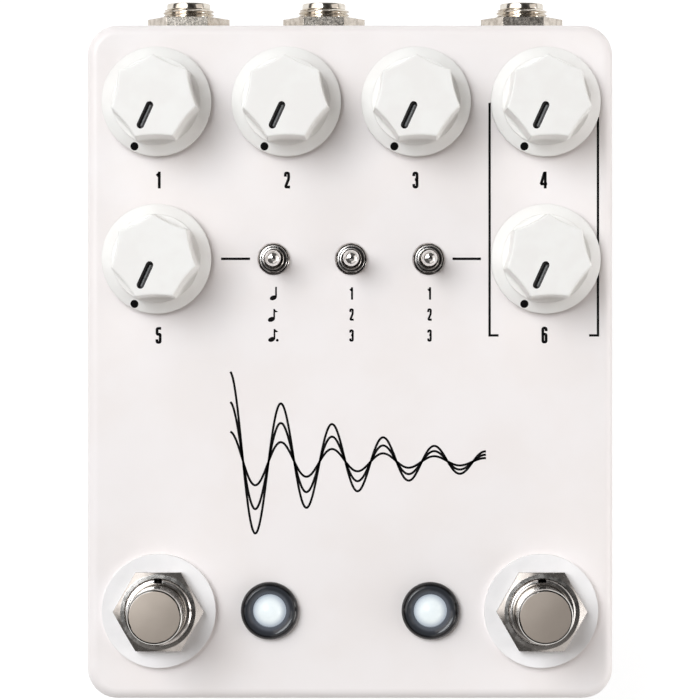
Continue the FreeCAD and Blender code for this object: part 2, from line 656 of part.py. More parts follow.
def toggle_bushing():
    """The threaded bushing on its square flange, with a ball seat inside and a flat on its front."""
    chamfered_radius = TOGGLE_THREAD_RADIUS - TOGGLE_MOUTH_CHAMFER
    groove = ring(
        TOGGLE_GROOVE_RADIUS + TOGGLE_GROOVE_WIDTH / 2, TOGGLE_GROOVE_RADIUS - TOGGLE_GROOVE_WIDTH / 2,
        TOGGLE_MOUTH_HEIGHT - TOGGLE_GROOVE_DEPTH, TOGGLE_MOUTH_HEIGHT
    )
    thread = turned([
        (0, ROOF),
        (TOGGLE_THREAD_RADIUS, ROOF),
        (TOGGLE_THREAD_RADIUS, TOGGLE_MOUTH_HEIGHT - TOGGLE_MOUTH_CHAMFER),
        (chamfered_radius, TOGGLE_MOUTH_HEIGHT),
        (0, TOGGLE_MOUTH_HEIGHT),
    ])
    flat_y = (-TOGGLE_THREAD_RADIUS, TOGGLE_FLAT_DEPTH - TOGGLE_THREAD_RADIUS)
    flat = block(around(0, 2 * TOGGLE_THREAD_RADIUS), flat_y, (ROOF, TOGGLE_MOUTH_HEIGHT))
    flange = block(around(0, TOGGLE_WIDTH), around(0, TOGGLE_LENGTH), (TOGGLE_BODY_TOP, ROOF))
    ball_bore = TOGGLE_BALL_RADIUS + RUNNING
    seat = TOGGLE_PIVOT + TOGGLE_SEAT_HEIGHT
    throat = TOGGLE_PIVOT + TOGGLE_BALL_DEPTH / 2
    throat_radius = tilted_reach(TOGGLE_NECK_RADIUS, TOGGLE_BALL_DEPTH / 2) + RUNNING
    mouth_radius = tilted_reach(TOGGLE_NECK_RADIUS, TOGGLE_BALL_DEPTH) + 2 * FIT
    bore = turned([
        (0, TOGGLE_BODY_TOP),
        (ball_bore, TOGGLE_BODY_TOP),
        (ball_bore, seat),
        (throat_radius, (seat + throat) / 2),
        (throat_radius, throat),
        (mouth_radius, TOGGLE_MOUTH_HEIGHT),
        (0, TOGGLE_MOUTH_HEIGHT),
    ])
    return joined([thread.cut(flat), flange]).cut([bore, groove])


def toggle_housing():
    body = block(around(0, TOGGLE_WIDTH), around(0, TOGGLE_LENGTH), (MAIN_BOARD_TOP, TOGGLE_BODY_TOP))
    tail_reach = TOGGLE_PIVOT - TOGGLE_BODY_TOP + TOGGLE_TAIL_REACH
    room_length = around(0, 2 * (tilted_reach(TOGGLE_TAIL_RADIUS, tail_reach) + AIR))
    room_width = around(0, 2 * (TOGGLE_TAIL_RADIUS + AIR))
    room_z = (TOGGLE_BODY_TOP - TOGGLE_TAIL_REACH - 2 * AIR, TOGGLE_BODY_TOP)
    body = body.cut(block(room_width, room_length, room_z))
    return joined([body] + legs(TOGGLE_LEGS, MAIN_BOARD_TOP))


# Footswitches

def footswitch_button():
    """The plunger that the foot presses, with the flange that stops it under the bushing."""
    edge = BUTTON_HEIGHT - BUTTON_CROWN
    flat_radius = BUTTON_RADIUS - BUTTON_EDGE_RADIUS
    return turned([
        (0, SPRING_TOP),
        (PLUNGER_FLANGE_RADIUS, SPRING_TOP),
        (PLUNGER_FLANGE_RADIUS, SWITCH_TOP),
        (BUTTON_RADIUS, SWITCH_TOP),
        (BUTTON_RADIUS, edge - BUTTON_EDGE_RADIUS),
        arc_step((flat_radius, edge - BUTTON_EDGE_RADIUS), BUTTON_EDGE_RADIUS, 0, 90),
        crown_step(flat_radius, BUTTON_HEIGHT, BUTTON_CROWN),
    ])


def footswitch_bushing():
    """The threaded bushing on its flange, with a keyway down its rear."""
    chamfered_radius = FOOTSWITCH_THREAD_RADIUS - FOOTSWITCH_CHAMFER
    bore_radius = BUTTON_RADIUS + RUNNING
    bushing = turned([
        (bore_radius, SWITCH_TOP),
        (SWITCH_FLANGE_RADIUS, SWITCH_TOP),
        (SWITCH_FLANGE_RADIUS, SWITCH_FLANGE_TOP),
        (FOOTSWITCH_THREAD_RADIUS, SWITCH_FLANGE_TOP),
        (FOOTSWITCH_THREAD_RADIUS, FOOTSWITCH_THREAD_TOP - FOOTSWITCH_CHAMFER),
        (chamfered_radius, FOOTSWITCH_THREAD_TOP),
        (bore_radius, FOOTSWITCH_THREAD_TOP),
    ])
    keyway_y = (FOOTSWITCH_THREAD_RADIUS - KEYWAY_DEPTH, FOOTSWITCH_THREAD_RADIUS)
    keyway_z = (SWITCH_FLANGE_TOP, FOOTSWITCH_THREAD_TOP)
    return bushing.cut(block(around(0, KEYWAY_WIDTH), keyway_y, keyway_z))


def footswitch_housing():
    bottom = SWITCH_BOARD_TOP
    body = block(around(0, SWITCH_WIDTH), around(0, SWITCH_LENGTH), (bottom, SWITCH_TOP))
    body = body.cut(rod(PLUNGER_FLANGE_RADIUS + AIR, SPRING_BOTTOM, SWITCH_TOP))
    return joined([body] + legs(SWITCH_LEGS, SWITCH_BOARD_TOP))


def footswitch_spring():
    """A coil between the housing's floor and the plunger's flange, on two arcs to each half turn."""
    low = SPRING_BOTTOM + SPRING_WIRE_RADIUS
    rise = (SPRING_HEIGHT - 2 * SPRING_WIRE_RADIUS) / SPRING_TURNS
    slope = rise / (2 * math.pi * SPRING_RADIUS)

    def coil_point(turns):
        angle = 2 * math.pi * turns
        point = Vector(SPRING_RADIUS * math.cos(angle), SPRING_RADIUS * math.sin(angle), low + rise * turns)
        return point, Vector(-math.sin(angle), math.cos(angle), slope).normalize()

    edges = []
    for half in range(2 * SPRING_TURNS):
        start, start_way = coil_point(half / 2)
        end, end_way = coil_point((half + 1) / 2)
        edges += two_arcs(start, start_way, end, end_way)
    wire = Part.Wire(edges)
    start, start_way = coil_point(0)
    section = Part.Wire(Part.Circle(start, start_way, SPRING_WIRE_RADIUS).toShape())
    return wire.makePipeShell([section], True, False)


def two_arcs(start, start_way, end, end_way):
    """Two arcs that leave a start and reach an end along given ways, and meet smoothly between them."""
    across = end - start
    ways = start_way + end_way
    spread = 2 * (1 - start_way.dot(end_way))
    reach = (math.sqrt(across.dot(ways) ** 2 + spread * across.dot(across)) - across.dot(ways)) / spread
    first_bend = start + start_way * reach
    second_bend = end - end_way * reach
    meeting = (first_bend + second_bend) * 0.5
    return [bend_arc(start, first_bend, meeting), bend_arc(meeting, second_bend, end)]


def bend_arc(start, bend, end):
    """The arc that touches the lines from a bend to its start and its end."""
    chord_middle = (start + end) * 0.5
    rise = bend - chord_middle
    half_chord = start.distanceToPoint(end) / 2
    leg = bend.distanceToPoint(start)
    sagitta = half_chord * (leg - half_chord) / rise.Length
    return Part.Arc(start, chord_middle + rise.normalize() * sagitta, end).toShape()


def footswitch_nut():
    bore_radius = FOOTSWITCH_THREAD_RADIUS + FIT
    return hex_nut(FOOTSWITCH_NUT_FLATS, bore_radius, FOOTSWITCH_WASHER_THICKNESS, FOOTSWITCH_NUT_TOP)


def footswitch_inner_nut():
    return hex_nut(FOOTSWITCH_NUT_FLATS, FOOTSWITCH_THREAD_RADIUS + FIT, SWITCH_FLANGE_TOP, ROOF)


def footswitch_washer():
    bore_radius = FOOTSWITCH_THREAD_RADIUS + FIT
    return ring(FOOTSWITCH_WASHER_RADIUS, bore_radius, 0, FOOTSWITCH_WASHER_THICKNESS)


# Status lights

def light_bezel():
    """A bezel whose rounded lip leads down to the lens, and its barrel through the panel."""
    lip_radius = LENS_RADIUS + FIT
    seat_radius = lip_radius + LENS_FLANGE_WIDTH
    crest = (BEZEL_CREST_RADIUS, BEZEL_HEIGHT)
    return turned([
        (lip_radius, -LENS_SEAT_DEPTH),
        (seat_radius, -LENS_SEAT_DEPTH),
        (seat_radius, -BEZEL_BARREL_DEPTH),
        (BEZEL_BARREL_RADIUS, -BEZEL_BARREL_DEPTH),
        (BEZEL_BARREL_RADIUS, 0),
        (BEZEL_RADIUS, 0),
        (BEZEL_RADIUS, BEZEL_RIM_HEIGHT),
        bulged_step((BEZEL_RADIUS, BEZEL_RIM_HEIGHT), crest, BEZEL_BULGE),
        bulged_step(crest, (lip_radius, BEZEL_LIP_HEIGHT), BEZEL_BULGE),
    ])


def light():
    """A light-emitting diode: its domed lens and flange."""
    shoulder = LENS_HEIGHT - LENS_RADIUS
    flange_radius = LENS_RADIUS + LENS_FLANGE_WIDTH
    flange_bottom = -LENS_SEAT_DEPTH - LENS_FLANGE_THICKNESS
    return turned([
        (0, flange_bottom),
        (flange_radius, flange_bottom),
        (flange_radius, -LENS_SEAT_DEPTH),
        (LENS_RADIUS, -LENS_SEAT_DEPTH),
        (LENS_RADIUS, shoulder),
        arc_step((0, shoulder), LENS_RADIUS, 0, 90),
    ])


def light_leads():
    top = -LENS_SEAT_DEPTH - LENS_FLANGE_THICKNESS
    return at_each(rod(LEAD_RADIUS, SWITCH_BOARD_BOTTOM, top), LIGHT_LEADS)


def light_retainer():
    inner_radius = BEZEL_BARREL_RADIUS + FIT
    return ring(inner_radius + RETAINER_WALL, inner_radius, ROOF - RETAINER_HEIGHT, ROOF)


# Jacks: the round pieces have z = 0 on the rear wall and +Z leaving the box, until they are stood on it

def jack_bushing():
    return turned([
        (JACK_BORE_RADIUS, JACK_CAVITY_START),
        (JACK_THREAD_RADIUS, JACK_CAVITY_START),
        (JACK_THREAD_RADIUS, JACK_REACH - JACK_CROWN_LENGTH),
        (JACK_CROWN_RADIUS, JACK_REACH - JACK_CROWN_LENGTH),
        (JACK_CROWN_RADIUS, JACK_REACH),
        (JACK_BORE_RADIUS, JACK_REACH),
    ])


def jack_washer():
    return ring(JACK_WASHER_RADIUS, JACK_THREAD_RADIUS + FIT, 0, JACK_WASHER_THICKNESS)


def jack_nut():
    """A thin nut with square corners on both sides."""
    bottom = JACK_WASHER_THICKNESS
    top = bottom + JACK_NUT_HEIGHT
    return hexagon(JACK_NUT_FLATS, bottom, top).cut(rod(JACK_THREAD_RADIUS + FIT, bottom, top))


def jack_housing(x):
    """A housing under the main board, open at its front for the bushing."""
    body_y = (REAR_INSIDE_Y - JACK_BODY_LENGTH, REAR_INSIDE_Y)
    cavity_y = (REAR_Y + JACK_CAVITY_END, REAR_Y + JACK_CAVITY_START)
    inner_width = JACK_BODY_WIDTH - 2 * JACK_BODY_WALL
    body = block(around(x, JACK_BODY_WIDTH), body_y, around(SOCKETS_Z, JACK_BODY_HEIGHT))
    inner_height = JACK_BODY_HEIGHT - 2 * JACK_BODY_WALL
    cavity = block(around(x, inner_width), cavity_y, around(SOCKETS_Z, inner_height))
    front_hole = on_rear_wall(rod(JACK_THREAD_RADIUS + FIT, JACK_CAVITY_START, -SIDE_WALL), x)
    return body.cut([cavity, front_hole] + jack_legs(x, LEG_RADIUS + FIT, MAIN_BOARD_BOTTOM))


def jack_legs(x, radius, top):
    """The uprights of both contacts, from the housing's ceiling to a height."""
    bottom = JACK_CEILING - CONTACT_THICKNESS
    return [rod(radius, bottom, top, (x, REAR_Y + depth)) for depth in (TIP_LEG_DEPTH, SLEEVE_LEG_DEPTH)]


def jack_contacts(x):
    """The tip contact, which dips towards the plug, and the sleeve contact behind the bushing."""
    width = around(x, CONTACT_WIDTH)
    tip_start = REAR_Y + JACK_CAVITY_END
    tip = strip([
        (tip_start, JACK_CEILING),
        (tip_start + TIP_CONTACT_LENGTH / 2, JACK_CEILING),
        (tip_start + TIP_CONTACT_LENGTH * 3 / 4, JACK_CEILING - CONTACT_DIP),
        (tip_start + TIP_CONTACT_LENGTH, JACK_CEILING),
    ], CONTACT_THICKNESS, width)
    sleeve_end = REAR_Y + JACK_CAVITY_START
    sleeve_y = (sleeve_end - SLEEVE_CONTACT_LENGTH, sleeve_end)
    sleeve = block(width, sleeve_y, (JACK_CEILING - CONTACT_THICKNESS, JACK_CEILING))
    tip_leg, sleeve_leg = jack_legs(x, LEG_RADIUS, MAIN_BOARD_TOP - AIR)
    return [joined([tip, tip_leg]), joined([sleeve, sleeve_leg])]


# Power socket

def power_socket_housing():
    body_y = (REAR_Y + POWER_BODY_END, REAR_INSIDE_Y)
    body_z = (POWER_BODY_BOTTOM, MAIN_BOARD_BOTTOM)
    body = block(around(POWER_SOCKET_X, POWER_BODY_WIDTH), body_y, body_z)
    nose = on_rear_wall(rod(POWER_NOSE_RADIUS, -SIDE_WALL, POWER_NOSE_END), POWER_SOCKET_X)
    bore = on_rear_wall(rod(POWER_BORE_RADIUS, POWER_BORE_END, POWER_NOSE_END), POWER_SOCKET_X)
    pin_hole = on_rear_wall(rod(POWER_PIN_SHANK_RADIUS + FIT, POWER_BODY_END, POWER_BORE_END), POWER_SOCKET_X)
    slot_width = around(POWER_SOCKET_X, CONTACT_WIDTH + 2 * FIT)
    slot = block(slot_width, POWER_SLOT_Y, (POWER_BODY_BOTTOM, SOCKETS_Z - POWER_BORE_RADIUS / 2))
    return joined([body, nose]).cut([bore, pin_hole, slot])


def power_socket_pin():
    pin = joined([
        rod(POWER_PIN_SHANK_RADIUS, POWER_BODY_END, POWER_BORE_END),
        rod(POWER_PIN_RADIUS, POWER_BORE_END, POWER_BORE_END + POWER_PIN_LENGTH),
    ])
    return on_rear_wall(pin, POWER_SOCKET_X)


def power_socket_contact():
    """The side contact: a strip along the bore, with a foot that runs down the slot's end."""
    top = SOCKETS_Z - POWER_BORE_RADIUS - FIT
    width = around(POWER_SOCKET_X, CONTACT_WIDTH)
    along = block(width, POWER_SLOT_Y, (top - CONTACT_THICKNESS, top))
    foot_y = (POWER_SLOT_Y[0], POWER_SLOT_Y[0] + CONTACT_THICKNESS)
    return joined([along, block(width, foot_y, (POWER_BODY_BOTTOM, top))])


# Circuit boards

def corner_notches(bottom, top):
    """Room for the bosses at a board's corners."""
    size = 2 * (BOSS_RADIUS + AIR)
    return [block(around(x, size), around(y, size), (bottom, top)) for x, y in BOSS_PLACES]


def main_board():
    board = block(BOARD_X, (MAIN_BOARD_FRONT_Y, BOARD_END_Y), (MAIN_BOARD_BOTTOM, MAIN_BOARD_TOP))
    holes = corner_notches(MAIN_BOARD_BOTTOM, MAIN_BOARD_TOP)
    for x, y in KNOB_PLACES:
        holes += [moved(hole, x, y) for hole in leg_holes(POT_LEGS, MAIN_BOARD_TOP)]
    for x, y in TOGGLE_PLACES:
        holes += [moved(hole, x, y) for hole in leg_holes(TOGGLE_LEGS, MAIN_BOARD_TOP)]
    for x in JACK_XS:
        holes += jack_legs(x, LEG_RADIUS + FIT, MAIN_BOARD_TOP)
    return board.cut(holes)


def switch_board():
    board = block(BOARD_X, (-BOARD_END_Y, SWITCH_BOARD_REAR_Y), (SWITCH_BOARD_BOTTOM, SWITCH_BOARD_TOP))
    holes = corner_notches(SWITCH_BOARD_BOTTOM, SWITCH_BOARD_TOP)
    for x, y in FOOTSWITCH_PLACES.values():
        holes += [moved(hole, x, y) for hole in leg_holes(SWITCH_LEGS, SWITCH_BOARD_TOP)]
    lead_hole = rod(LEAD_RADIUS + FIT, SWITCH_BOARD_BOTTOM, SWITCH_BOARD_TOP)
    for x, y in LIGHT_PLACES:
        holes += [moved(hole, x, y) for hole in at_each(lead_hole, LIGHT_LEADS)]
    return board.cut(holes)


def board_header():
    width = around((MAIN_BOARD_FRONT_Y + SWITCH_BOARD_REAR_Y) / 2, HEADER_WIDTH)
    return block(around(0, HEADER_LENGTH), width, (SWITCH_BOARD_TOP, MAIN_BOARD_BOTTOM))


def chips():
    blocks = []
    for x, y, width, length, height in CHIPS:
        y_range = around(MAIN_BOARD_FRONT_Y + y, length)
        blocks.append(block(around(x, width), y_range, (MAIN_BOARD_BOTTOM - height, MAIN_BOARD_BOTTOM)))
    return blocks


def capacitors():
    return [
        rod(radius, MAIN_BOARD_BOTTOM - height, MAIN_BOARD_BOTTOM, (x, MAIN_BOARD_FRONT_Y + y))
        for x, y, radius, height in CAPACITORS
    ]


# The whole pedal

def pedal():
    """Every node of the pedal, as name and solids."""
    nodes = {
        "enclosure": [enclosure()],
        "bottom_plate": [bottom_plate()],
        "bottom_plate_screws": plate_screws(),
        "rubber_feet": rubber_feet(),
        "pot_housings": at_each(pot_housing(), KNOB_PLACES),
        "pot_terminal_wafers": at_each(pot_wafer(), KNOB_PLACES),
        "pot_nuts": at_each(pot_nut(), KNOB_PLACES),
        "pot_washers": at_each(pot_washer(), KNOB_PLACES),
        "toggle_bushings": at_each(toggle_bushing(), TOGGLE_PLACES),
        "toggle_housings": at_each(toggle_housing(), TOGGLE_PLACES),
        "footswitch_nuts": at_each(footswitch_nut(), FOOTSWITCH_PLACES.values()),
        "footswitch_nylon_washers": at_each(footswitch_washer(), FOOTSWITCH_PLACES.values()),
        "footswitch_inner_nuts": at_each(footswitch_inner_nut(), FOOTSWITCH_PLACES.values()),
        "led_bezels": at_each(light_bezel(), LIGHT_PLACES),
        "led_lenses": at_each(light(), LIGHT_PLACES),
        "led_leads": [moved(lead, x, y) for x, y in LIGHT_PLACES for lead in light_leads()],
        "led_retaining_rings": at_each(light_retainer(), LIGHT_PLACES),
        "jack_bushings": [on_rear_wall(jack_bushing(), x) for x in JACK_XS],
        "jack_washers": [on_rear_wall(jack_washer(), x) for x in JACK_XS],
        "jack_nuts": [on_rear_wall(jack_nut(), x) for x in JACK_XS],
        "jack_housings": [jack_housing(x) for x in JACK_XS],
        "jack_contacts": [contact for x in JACK_XS for contact in jack_contacts(x)],
        "power_socket_housing": [power_socket_housing()],
        "power_socket_pin": [power_socket_pin()],
        "power_socket_contact": [power_socket_contact()],
        "main_board": [main_board()],
        "switch_board": [switch_board()],
        "board_header": [board_header()],
        "chips": chips(),
        "capacitors": capacitors(),
    }
    for number, place in enumerate(KNOB_PLACES, 1):
        nodes[f"knob_{number}"] = [moved(knob(), *place)]
        nodes[f"knob_{number}_set_screw"] = [moved(set_screw(), *place)]
        nodes[f"pot_{number}_shaft"] = [moved(pot_shaft(), *place)]
    for number, place in enumerate(TOGGLE_PLACES, 1):
        nodes[f"toggle_{number}_lever"] = [moved(toggle_lever(), *place)]
    for side, place in FOOTSWITCH_PLACES.items():
        nodes[f"footswitch_{side}_button"] = [moved(footswitch_button(), *place)]
        nodes[f"footswitch_{side}_bushing"] = [moved(footswitch_bushing(), *place)]
        nodes[f"footswitch_{side}_housing"] = [moved(footswitch_housing(), *place)]
        nodes[f"footswitch_{side}_spring"] = [moved(footswitch_spring(), *place)]
    return nodes


os.makedirs("parts", exist_ok=True)
for name, solids in pedal().items():
    node = Part.makeCompound(solids) if len(solids) > 1 else solids[0]
    moved(node, 0, -JACK_REACH / 2, FOOT_HEIGHT - PLATE_BOTTOM).exportStep(f"parts/{name}.step")
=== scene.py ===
import json
import math

import bpy
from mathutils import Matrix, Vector
from mathutils.bvhtree import BVHTree


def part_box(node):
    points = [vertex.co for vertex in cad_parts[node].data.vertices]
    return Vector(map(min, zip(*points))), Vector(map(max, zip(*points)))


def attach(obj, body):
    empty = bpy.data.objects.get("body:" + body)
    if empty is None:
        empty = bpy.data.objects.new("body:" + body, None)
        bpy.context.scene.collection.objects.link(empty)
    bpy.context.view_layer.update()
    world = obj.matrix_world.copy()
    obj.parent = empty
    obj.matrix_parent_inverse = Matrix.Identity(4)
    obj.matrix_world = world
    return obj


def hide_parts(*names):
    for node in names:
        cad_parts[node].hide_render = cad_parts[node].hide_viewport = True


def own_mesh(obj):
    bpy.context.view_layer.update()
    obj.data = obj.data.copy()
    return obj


# The looks of a delay effects pedal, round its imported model. Lengths are named in millimetres, as in the
# model's own source, and MM turns them into Blender's metres. +X is to the player's right, +Y points at the
# rear wall with the jacks, +Z is up, and the feet stand on z = 0.

MM = 0.001

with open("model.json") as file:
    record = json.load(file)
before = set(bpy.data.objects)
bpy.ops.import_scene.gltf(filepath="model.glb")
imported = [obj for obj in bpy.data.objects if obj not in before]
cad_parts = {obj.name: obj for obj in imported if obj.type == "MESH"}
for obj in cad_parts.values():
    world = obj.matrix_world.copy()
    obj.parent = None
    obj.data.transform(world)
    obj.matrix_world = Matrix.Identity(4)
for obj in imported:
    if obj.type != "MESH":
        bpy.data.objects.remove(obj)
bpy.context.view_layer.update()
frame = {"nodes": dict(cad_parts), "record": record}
panel_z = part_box("enclosure")[1].z / MM
rear_wall_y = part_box("enclosure")[1].y / MM


# Node trees

class Shader:
    """A node tree whose nodes are added by calls that return their outputs."""

    def __init__(self, tree):
        self.tree = tree
        tree.nodes.clear()

    def add(self, kind, sockets=None, output=0, **settings):
        """Adds a node, sets its sockets to values or joins them to outputs, and returns an output of it."""
        node = self.tree.nodes.new(kind)
        for name, value in settings.items():
            setattr(node, name, value)
        for name, value in (sockets or {}).items():
            if isinstance(value, bpy.types.NodeSocket):
                self.tree.links.new(value, node.inputs[name])
            else:
                node.inputs[name].default_value = value
        return node.outputs[output] if len(node.outputs) else node

    def math(self, operation, first, second=0.0):
        return self.add("ShaderNodeMath", {0: first, 1: second}, operation=operation)

    def place(self):
        """Where a point is on its piece at rest, in metres."""
        return self.add("ShaderNodeTexCoord", output="Object")

    def noise(self, size, detail=2.0, stretch=(1, 1, 1), turn=(0, 0, 0)):
        """Smooth noise with features of a size in millimetres, drawn out by a stretch after a turn."""
        scale = [1 / (size * MM * factor) for factor in stretch]
        turned = self.add("ShaderNodeMapping", {"Vector": self.place(), "Rotation": turn})
        scaled = self.add("ShaderNodeMapping", {"Vector": turned, "Scale": scale})
        return self.add("ShaderNodeTexNoise", {"Vector": scaled, "Scale": 1.0, "Detail": detail})

    def spread(self, value, low, high, to_low=0.0, to_high=1.0):
        """A value's range from low to high, turned smoothly into another range."""
        sockets = {"Value": value, "From Min": low, "From Max": high, "To Min": to_low, "To Max": to_high}
        return self.add("ShaderNodeMapRange", sockets, interpolation_type="SMOOTHSTEP")

    def uneven(self, size, detail, low=0.0, high=1.0):
        """Noise with features of a size in millimetres, from a low to a high value."""
        return self.spread(self.noise(size, detail), 0.3, 0.7, low, high)

    def tarnish(self, size):
        """Patches with a size in millimetres, from 0 where the metal is clean to 1."""
        return self.spread(self.noise(size, 4.0), 0.3, 0.75)

    def blend(self, share, first, second):
        """A colour between two, by a share."""
        sockets = {0: share, 6: opaque(first), 7: opaque(second)}
        return self.add("ShaderNodeMix", sockets, output=2, data_type="RGBA")

    def axes(self, vector):
        """The three parts of a vector."""
        node = self.add("ShaderNodeSeparateXYZ", {0: vector}).node
        return node.outputs[0], node.outputs[1], node.outputs[2]

    def radius_from(self, x, y):
        """The distance in millimetres from an upright axis, which stands on both sides of the middle."""
        place_x, place_y, _ = self.axes(self.place())
        across = self.math("SUBTRACT", self.math("ABSOLUTE", place_x), x * MM)
        along = self.math("SUBTRACT", place_y, y * MM)
        squares = self.math("ADD", self.math("POWER", across, 2.0), self.math("POWER", along, 2.0))
        return self.math("DIVIDE", self.math("SQRT", squares), MM)

    def facing_up(self, low, high):
        """0 on faces that look up less than a low share, and 1 from a high share on."""
        _, _, up = self.axes(self.add("ShaderNodeNewGeometry", output="Normal"))
        return self.spread(self.math("ABSOLUTE", up), low, high)

    def domed(self, normal, x, y, tilt):
        """A normal that leans out from an upright axis on each side of the middle, by more farther out."""
        place_x, place_y, _ = self.axes(self.place())
        middle = self.math("MULTIPLY", self.math("SIGN", place_x), x * MM)
        across = self.math("MULTIPLY", self.math("SUBTRACT", place_x, middle), tilt / MM)
        along = self.math("MULTIPLY", self.math("SUBTRACT", place_y, y * MM), tilt / MM)
        outward = self.add("ShaderNodeCombineXYZ", {"X": across, "Y": along})
        leaning = self.add("ShaderNodeVectorMath", {0: normal, 1: outward}, operation="ADD")
        return self.add("ShaderNodeVectorMath", {0: leaning}, operation="NORMALIZE")

    def rounded(self, radius):
        """The surface's normal, as if its edges were rounded by a radius in millimetres."""
        return self.add("ShaderNodeBevel", {"Radius": radius * MM}, samples=4)

    def edges(self, radius):
        """1 along the edges within a radius in millimetres, and 0 on the faces."""
        flat = self.add("ShaderNodeNewGeometry", output="Normal")
        soft = self.rounded(radius)
        agreement = self.add(
            "ShaderNodeVectorMath", {0: flat, 1: soft}, output="Value", operation="DOT_PRODUCT"
        )
        return self.spread(agreement, 0.995, 0.9)

    def bump(self, height, depth, normal=None):
        """A normal raised by a height from 0 to 1, over a depth in millimetres."""
        sockets = {"Height": height, "Distance": depth * MM, "Strength": 1.0}
        if normal is not None:
            sockets["Normal"] = normal
        return self.add("ShaderNodeBump", sockets)

    def finish(self, **sockets):
        """Ends a material with a principled shader."""
        named = {name.replace("_", " "): value for name, value in sockets.items()}
        surface = self.add("ShaderNodeBsdfPrincipled", named)
        self.add("ShaderNodeOutputMaterial", {"Surface": surface})


def opaque(colour):
    """A colour with full alpha, or an output as it is."""
    return colour if isinstance(colour, bpy.types.NodeSocket) else (*colour, 1.0)


def from_screen(red, green, blue):
    """A colour as the screen shows it, from 0 to 255, as the linear one that a shader takes."""
    shares = (level / 255 for level in (red, green, blue))
    return tuple(s / 12.92 if s <= 0.04045 else ((s + 0.055) / 1.055) ** 2.4 for s in shares)


# Materials, one to each of the record's slots

# Fine scratches: their size, detail, stretch and turn
HAIRLINES = (0.05, 1.0, (1, 40, 1), (0.3, 0.2, 0.6))
CROSSING_HAIRLINES = (0.05, 1.0, (40, 1, 1), (0.2, 0.5, 0.3))

FOOTSWITCH_AXIS = (34.1, -47.2)
BUTTON_TOP = (0.495, 0.428, 0.37)
BUTTON_TOP_TARNISH = (0.465, 0.40, 0.345)
BUTTON_SIDE = (0.66, 0.64, 0.61)
# A painted dark reflection on the button's rounded edge
BUTTON_PAINTED_DARK_REFLECTION = (0.1, 0.095, 0.09)
BUTTON_ROUGHNESS = (0.14, 0.47)     # of its side and its top
NUT_METAL = (0.58, 0.555, 0.53)
NUT_TARNISH = (0.49, 0.465, 0.44)
NUT_TILT = 0.014                    # of its face's normal, to each millimetre

LIGHT_AXIS = (14.35, -47.2)
BEZEL_CREST = 4.2                   # the radius of its highest ring
BEZEL_FADE = (3.1, 4.0)             # the radii between which the light from the lens fades
# The bezel's painted glow from the lens, the dim black it fades to, and the painted shade outside its crest
BEZEL_PAINTED_GLOW = (0.082, 0.088, 0.107)
BEZEL_DIM = (0.03, 0.033, 0.039)
BEZEL_PAINTED_SHADE = (0.006, 0.006, 0.007)
BEZEL_GLOSS = 0.4
LENS_RADIUS = 2.9
LENS_MIDDLE = (0.93, 1.0, 1.0)
LENS_RIM = from_screen(196, 206, 216)
LENS_GLOW = 0.7
LENS_RESIN = (0.27, 0.29, 0.31)
LENS_RESIN_SHADE = (0.24, 0.26, 0.28)

BOARD_GREEN = (0.012, 0.075, 0.035)
BOARD_TRACK = (0.02, 0.13, 0.06)
BOARD_LAMINATE = (0.42, 0.38, 0.22)
BOARD_FIBRE = (0.34, 0.30, 0.17)
CAN_METAL = (0.62, 0.63, 0.64)
CAN_SLEEVE = (0.012, 0.014, 0.03)
CAN_SLEEVE_SHADE = (0.02, 0.024, 0.045)

PAINT = from_screen(243, 238, 237)
PAINT_SHADE = from_screen(241, 235, 233)
KNOB_WHITE = from_screen(243, 242, 239)
KNOB_SHADE = from_screen(240, 238, 235)

for plain_material in list(bpy.data.materials):
    bpy.data.materials.remove(plain_material)


def new_material(slot):
    """A material, and the node tree that it is built in."""
    material = bpy.data.materials.new(slot)
    material.use_nodes = True
    return material, Shader(material.node_tree)


def coated(slot, colour, shade, roughness, grain, depth, patch=14.0, edge=0.25, worn=None):
    """Paint or moulded plastic: faint patches of a shade, a fine grain in its surface and worn edges.

    The grain, its depth, the patches and the edges' radius are in millimetres.
    """
    material, shader = new_material(slot)
    base = shader.blend(shader.spread(shader.noise(patch, 3.0), 0.35, 0.65), colour, shade)
    if worn is not None:
        patchy = shader.spread(shader.noise(1.1, 3.0), 0.35, 0.75)
        base = shader.blend(shader.math("MULTIPLY", shader.edges(edge), patchy), base, worn)
    rough = shader.uneven(patch / 5, 4.0, *roughness)
    normal = shader.bump(shader.noise(grain, 2.0), depth, shader.rounded(edge))
    shader.finish(Base_Color=base, Roughness=rough, Normal=normal)
    return material


def metal(slot, colour, shade, roughness, scratch=0.0006, dents=0.0, patch=2.5, edge=0.12):
    """Bare or plated metal: faint tarnish, crossing hairlines, shallow dents and edges that catch light.

    The depths of scratches and dents, the patches and the edges' radius are in millimetres. An edge of 0
    leaves the edges as they are modelled.
    """
    material, shader = new_material(slot)
    base = shader.blend(shader.tarnish(patch), colour, shade)
    rough = shader.uneven(patch / 2, 5.0, *roughness)
    scratches = shader.math("ADD", shader.noise(*HAIRLINES), shader.noise(*CROSSING_HAIRLINES))
    normal = shader.bump(scratches, scratch, shader.rounded(edge) if edge else None)
    if dents:
        normal = shader.bump(shader.noise(0.45, 2.0), dents, normal)
    shader.finish(Base_Color=base, Metallic=1.0, Roughness=rough, Normal=normal)
    return material


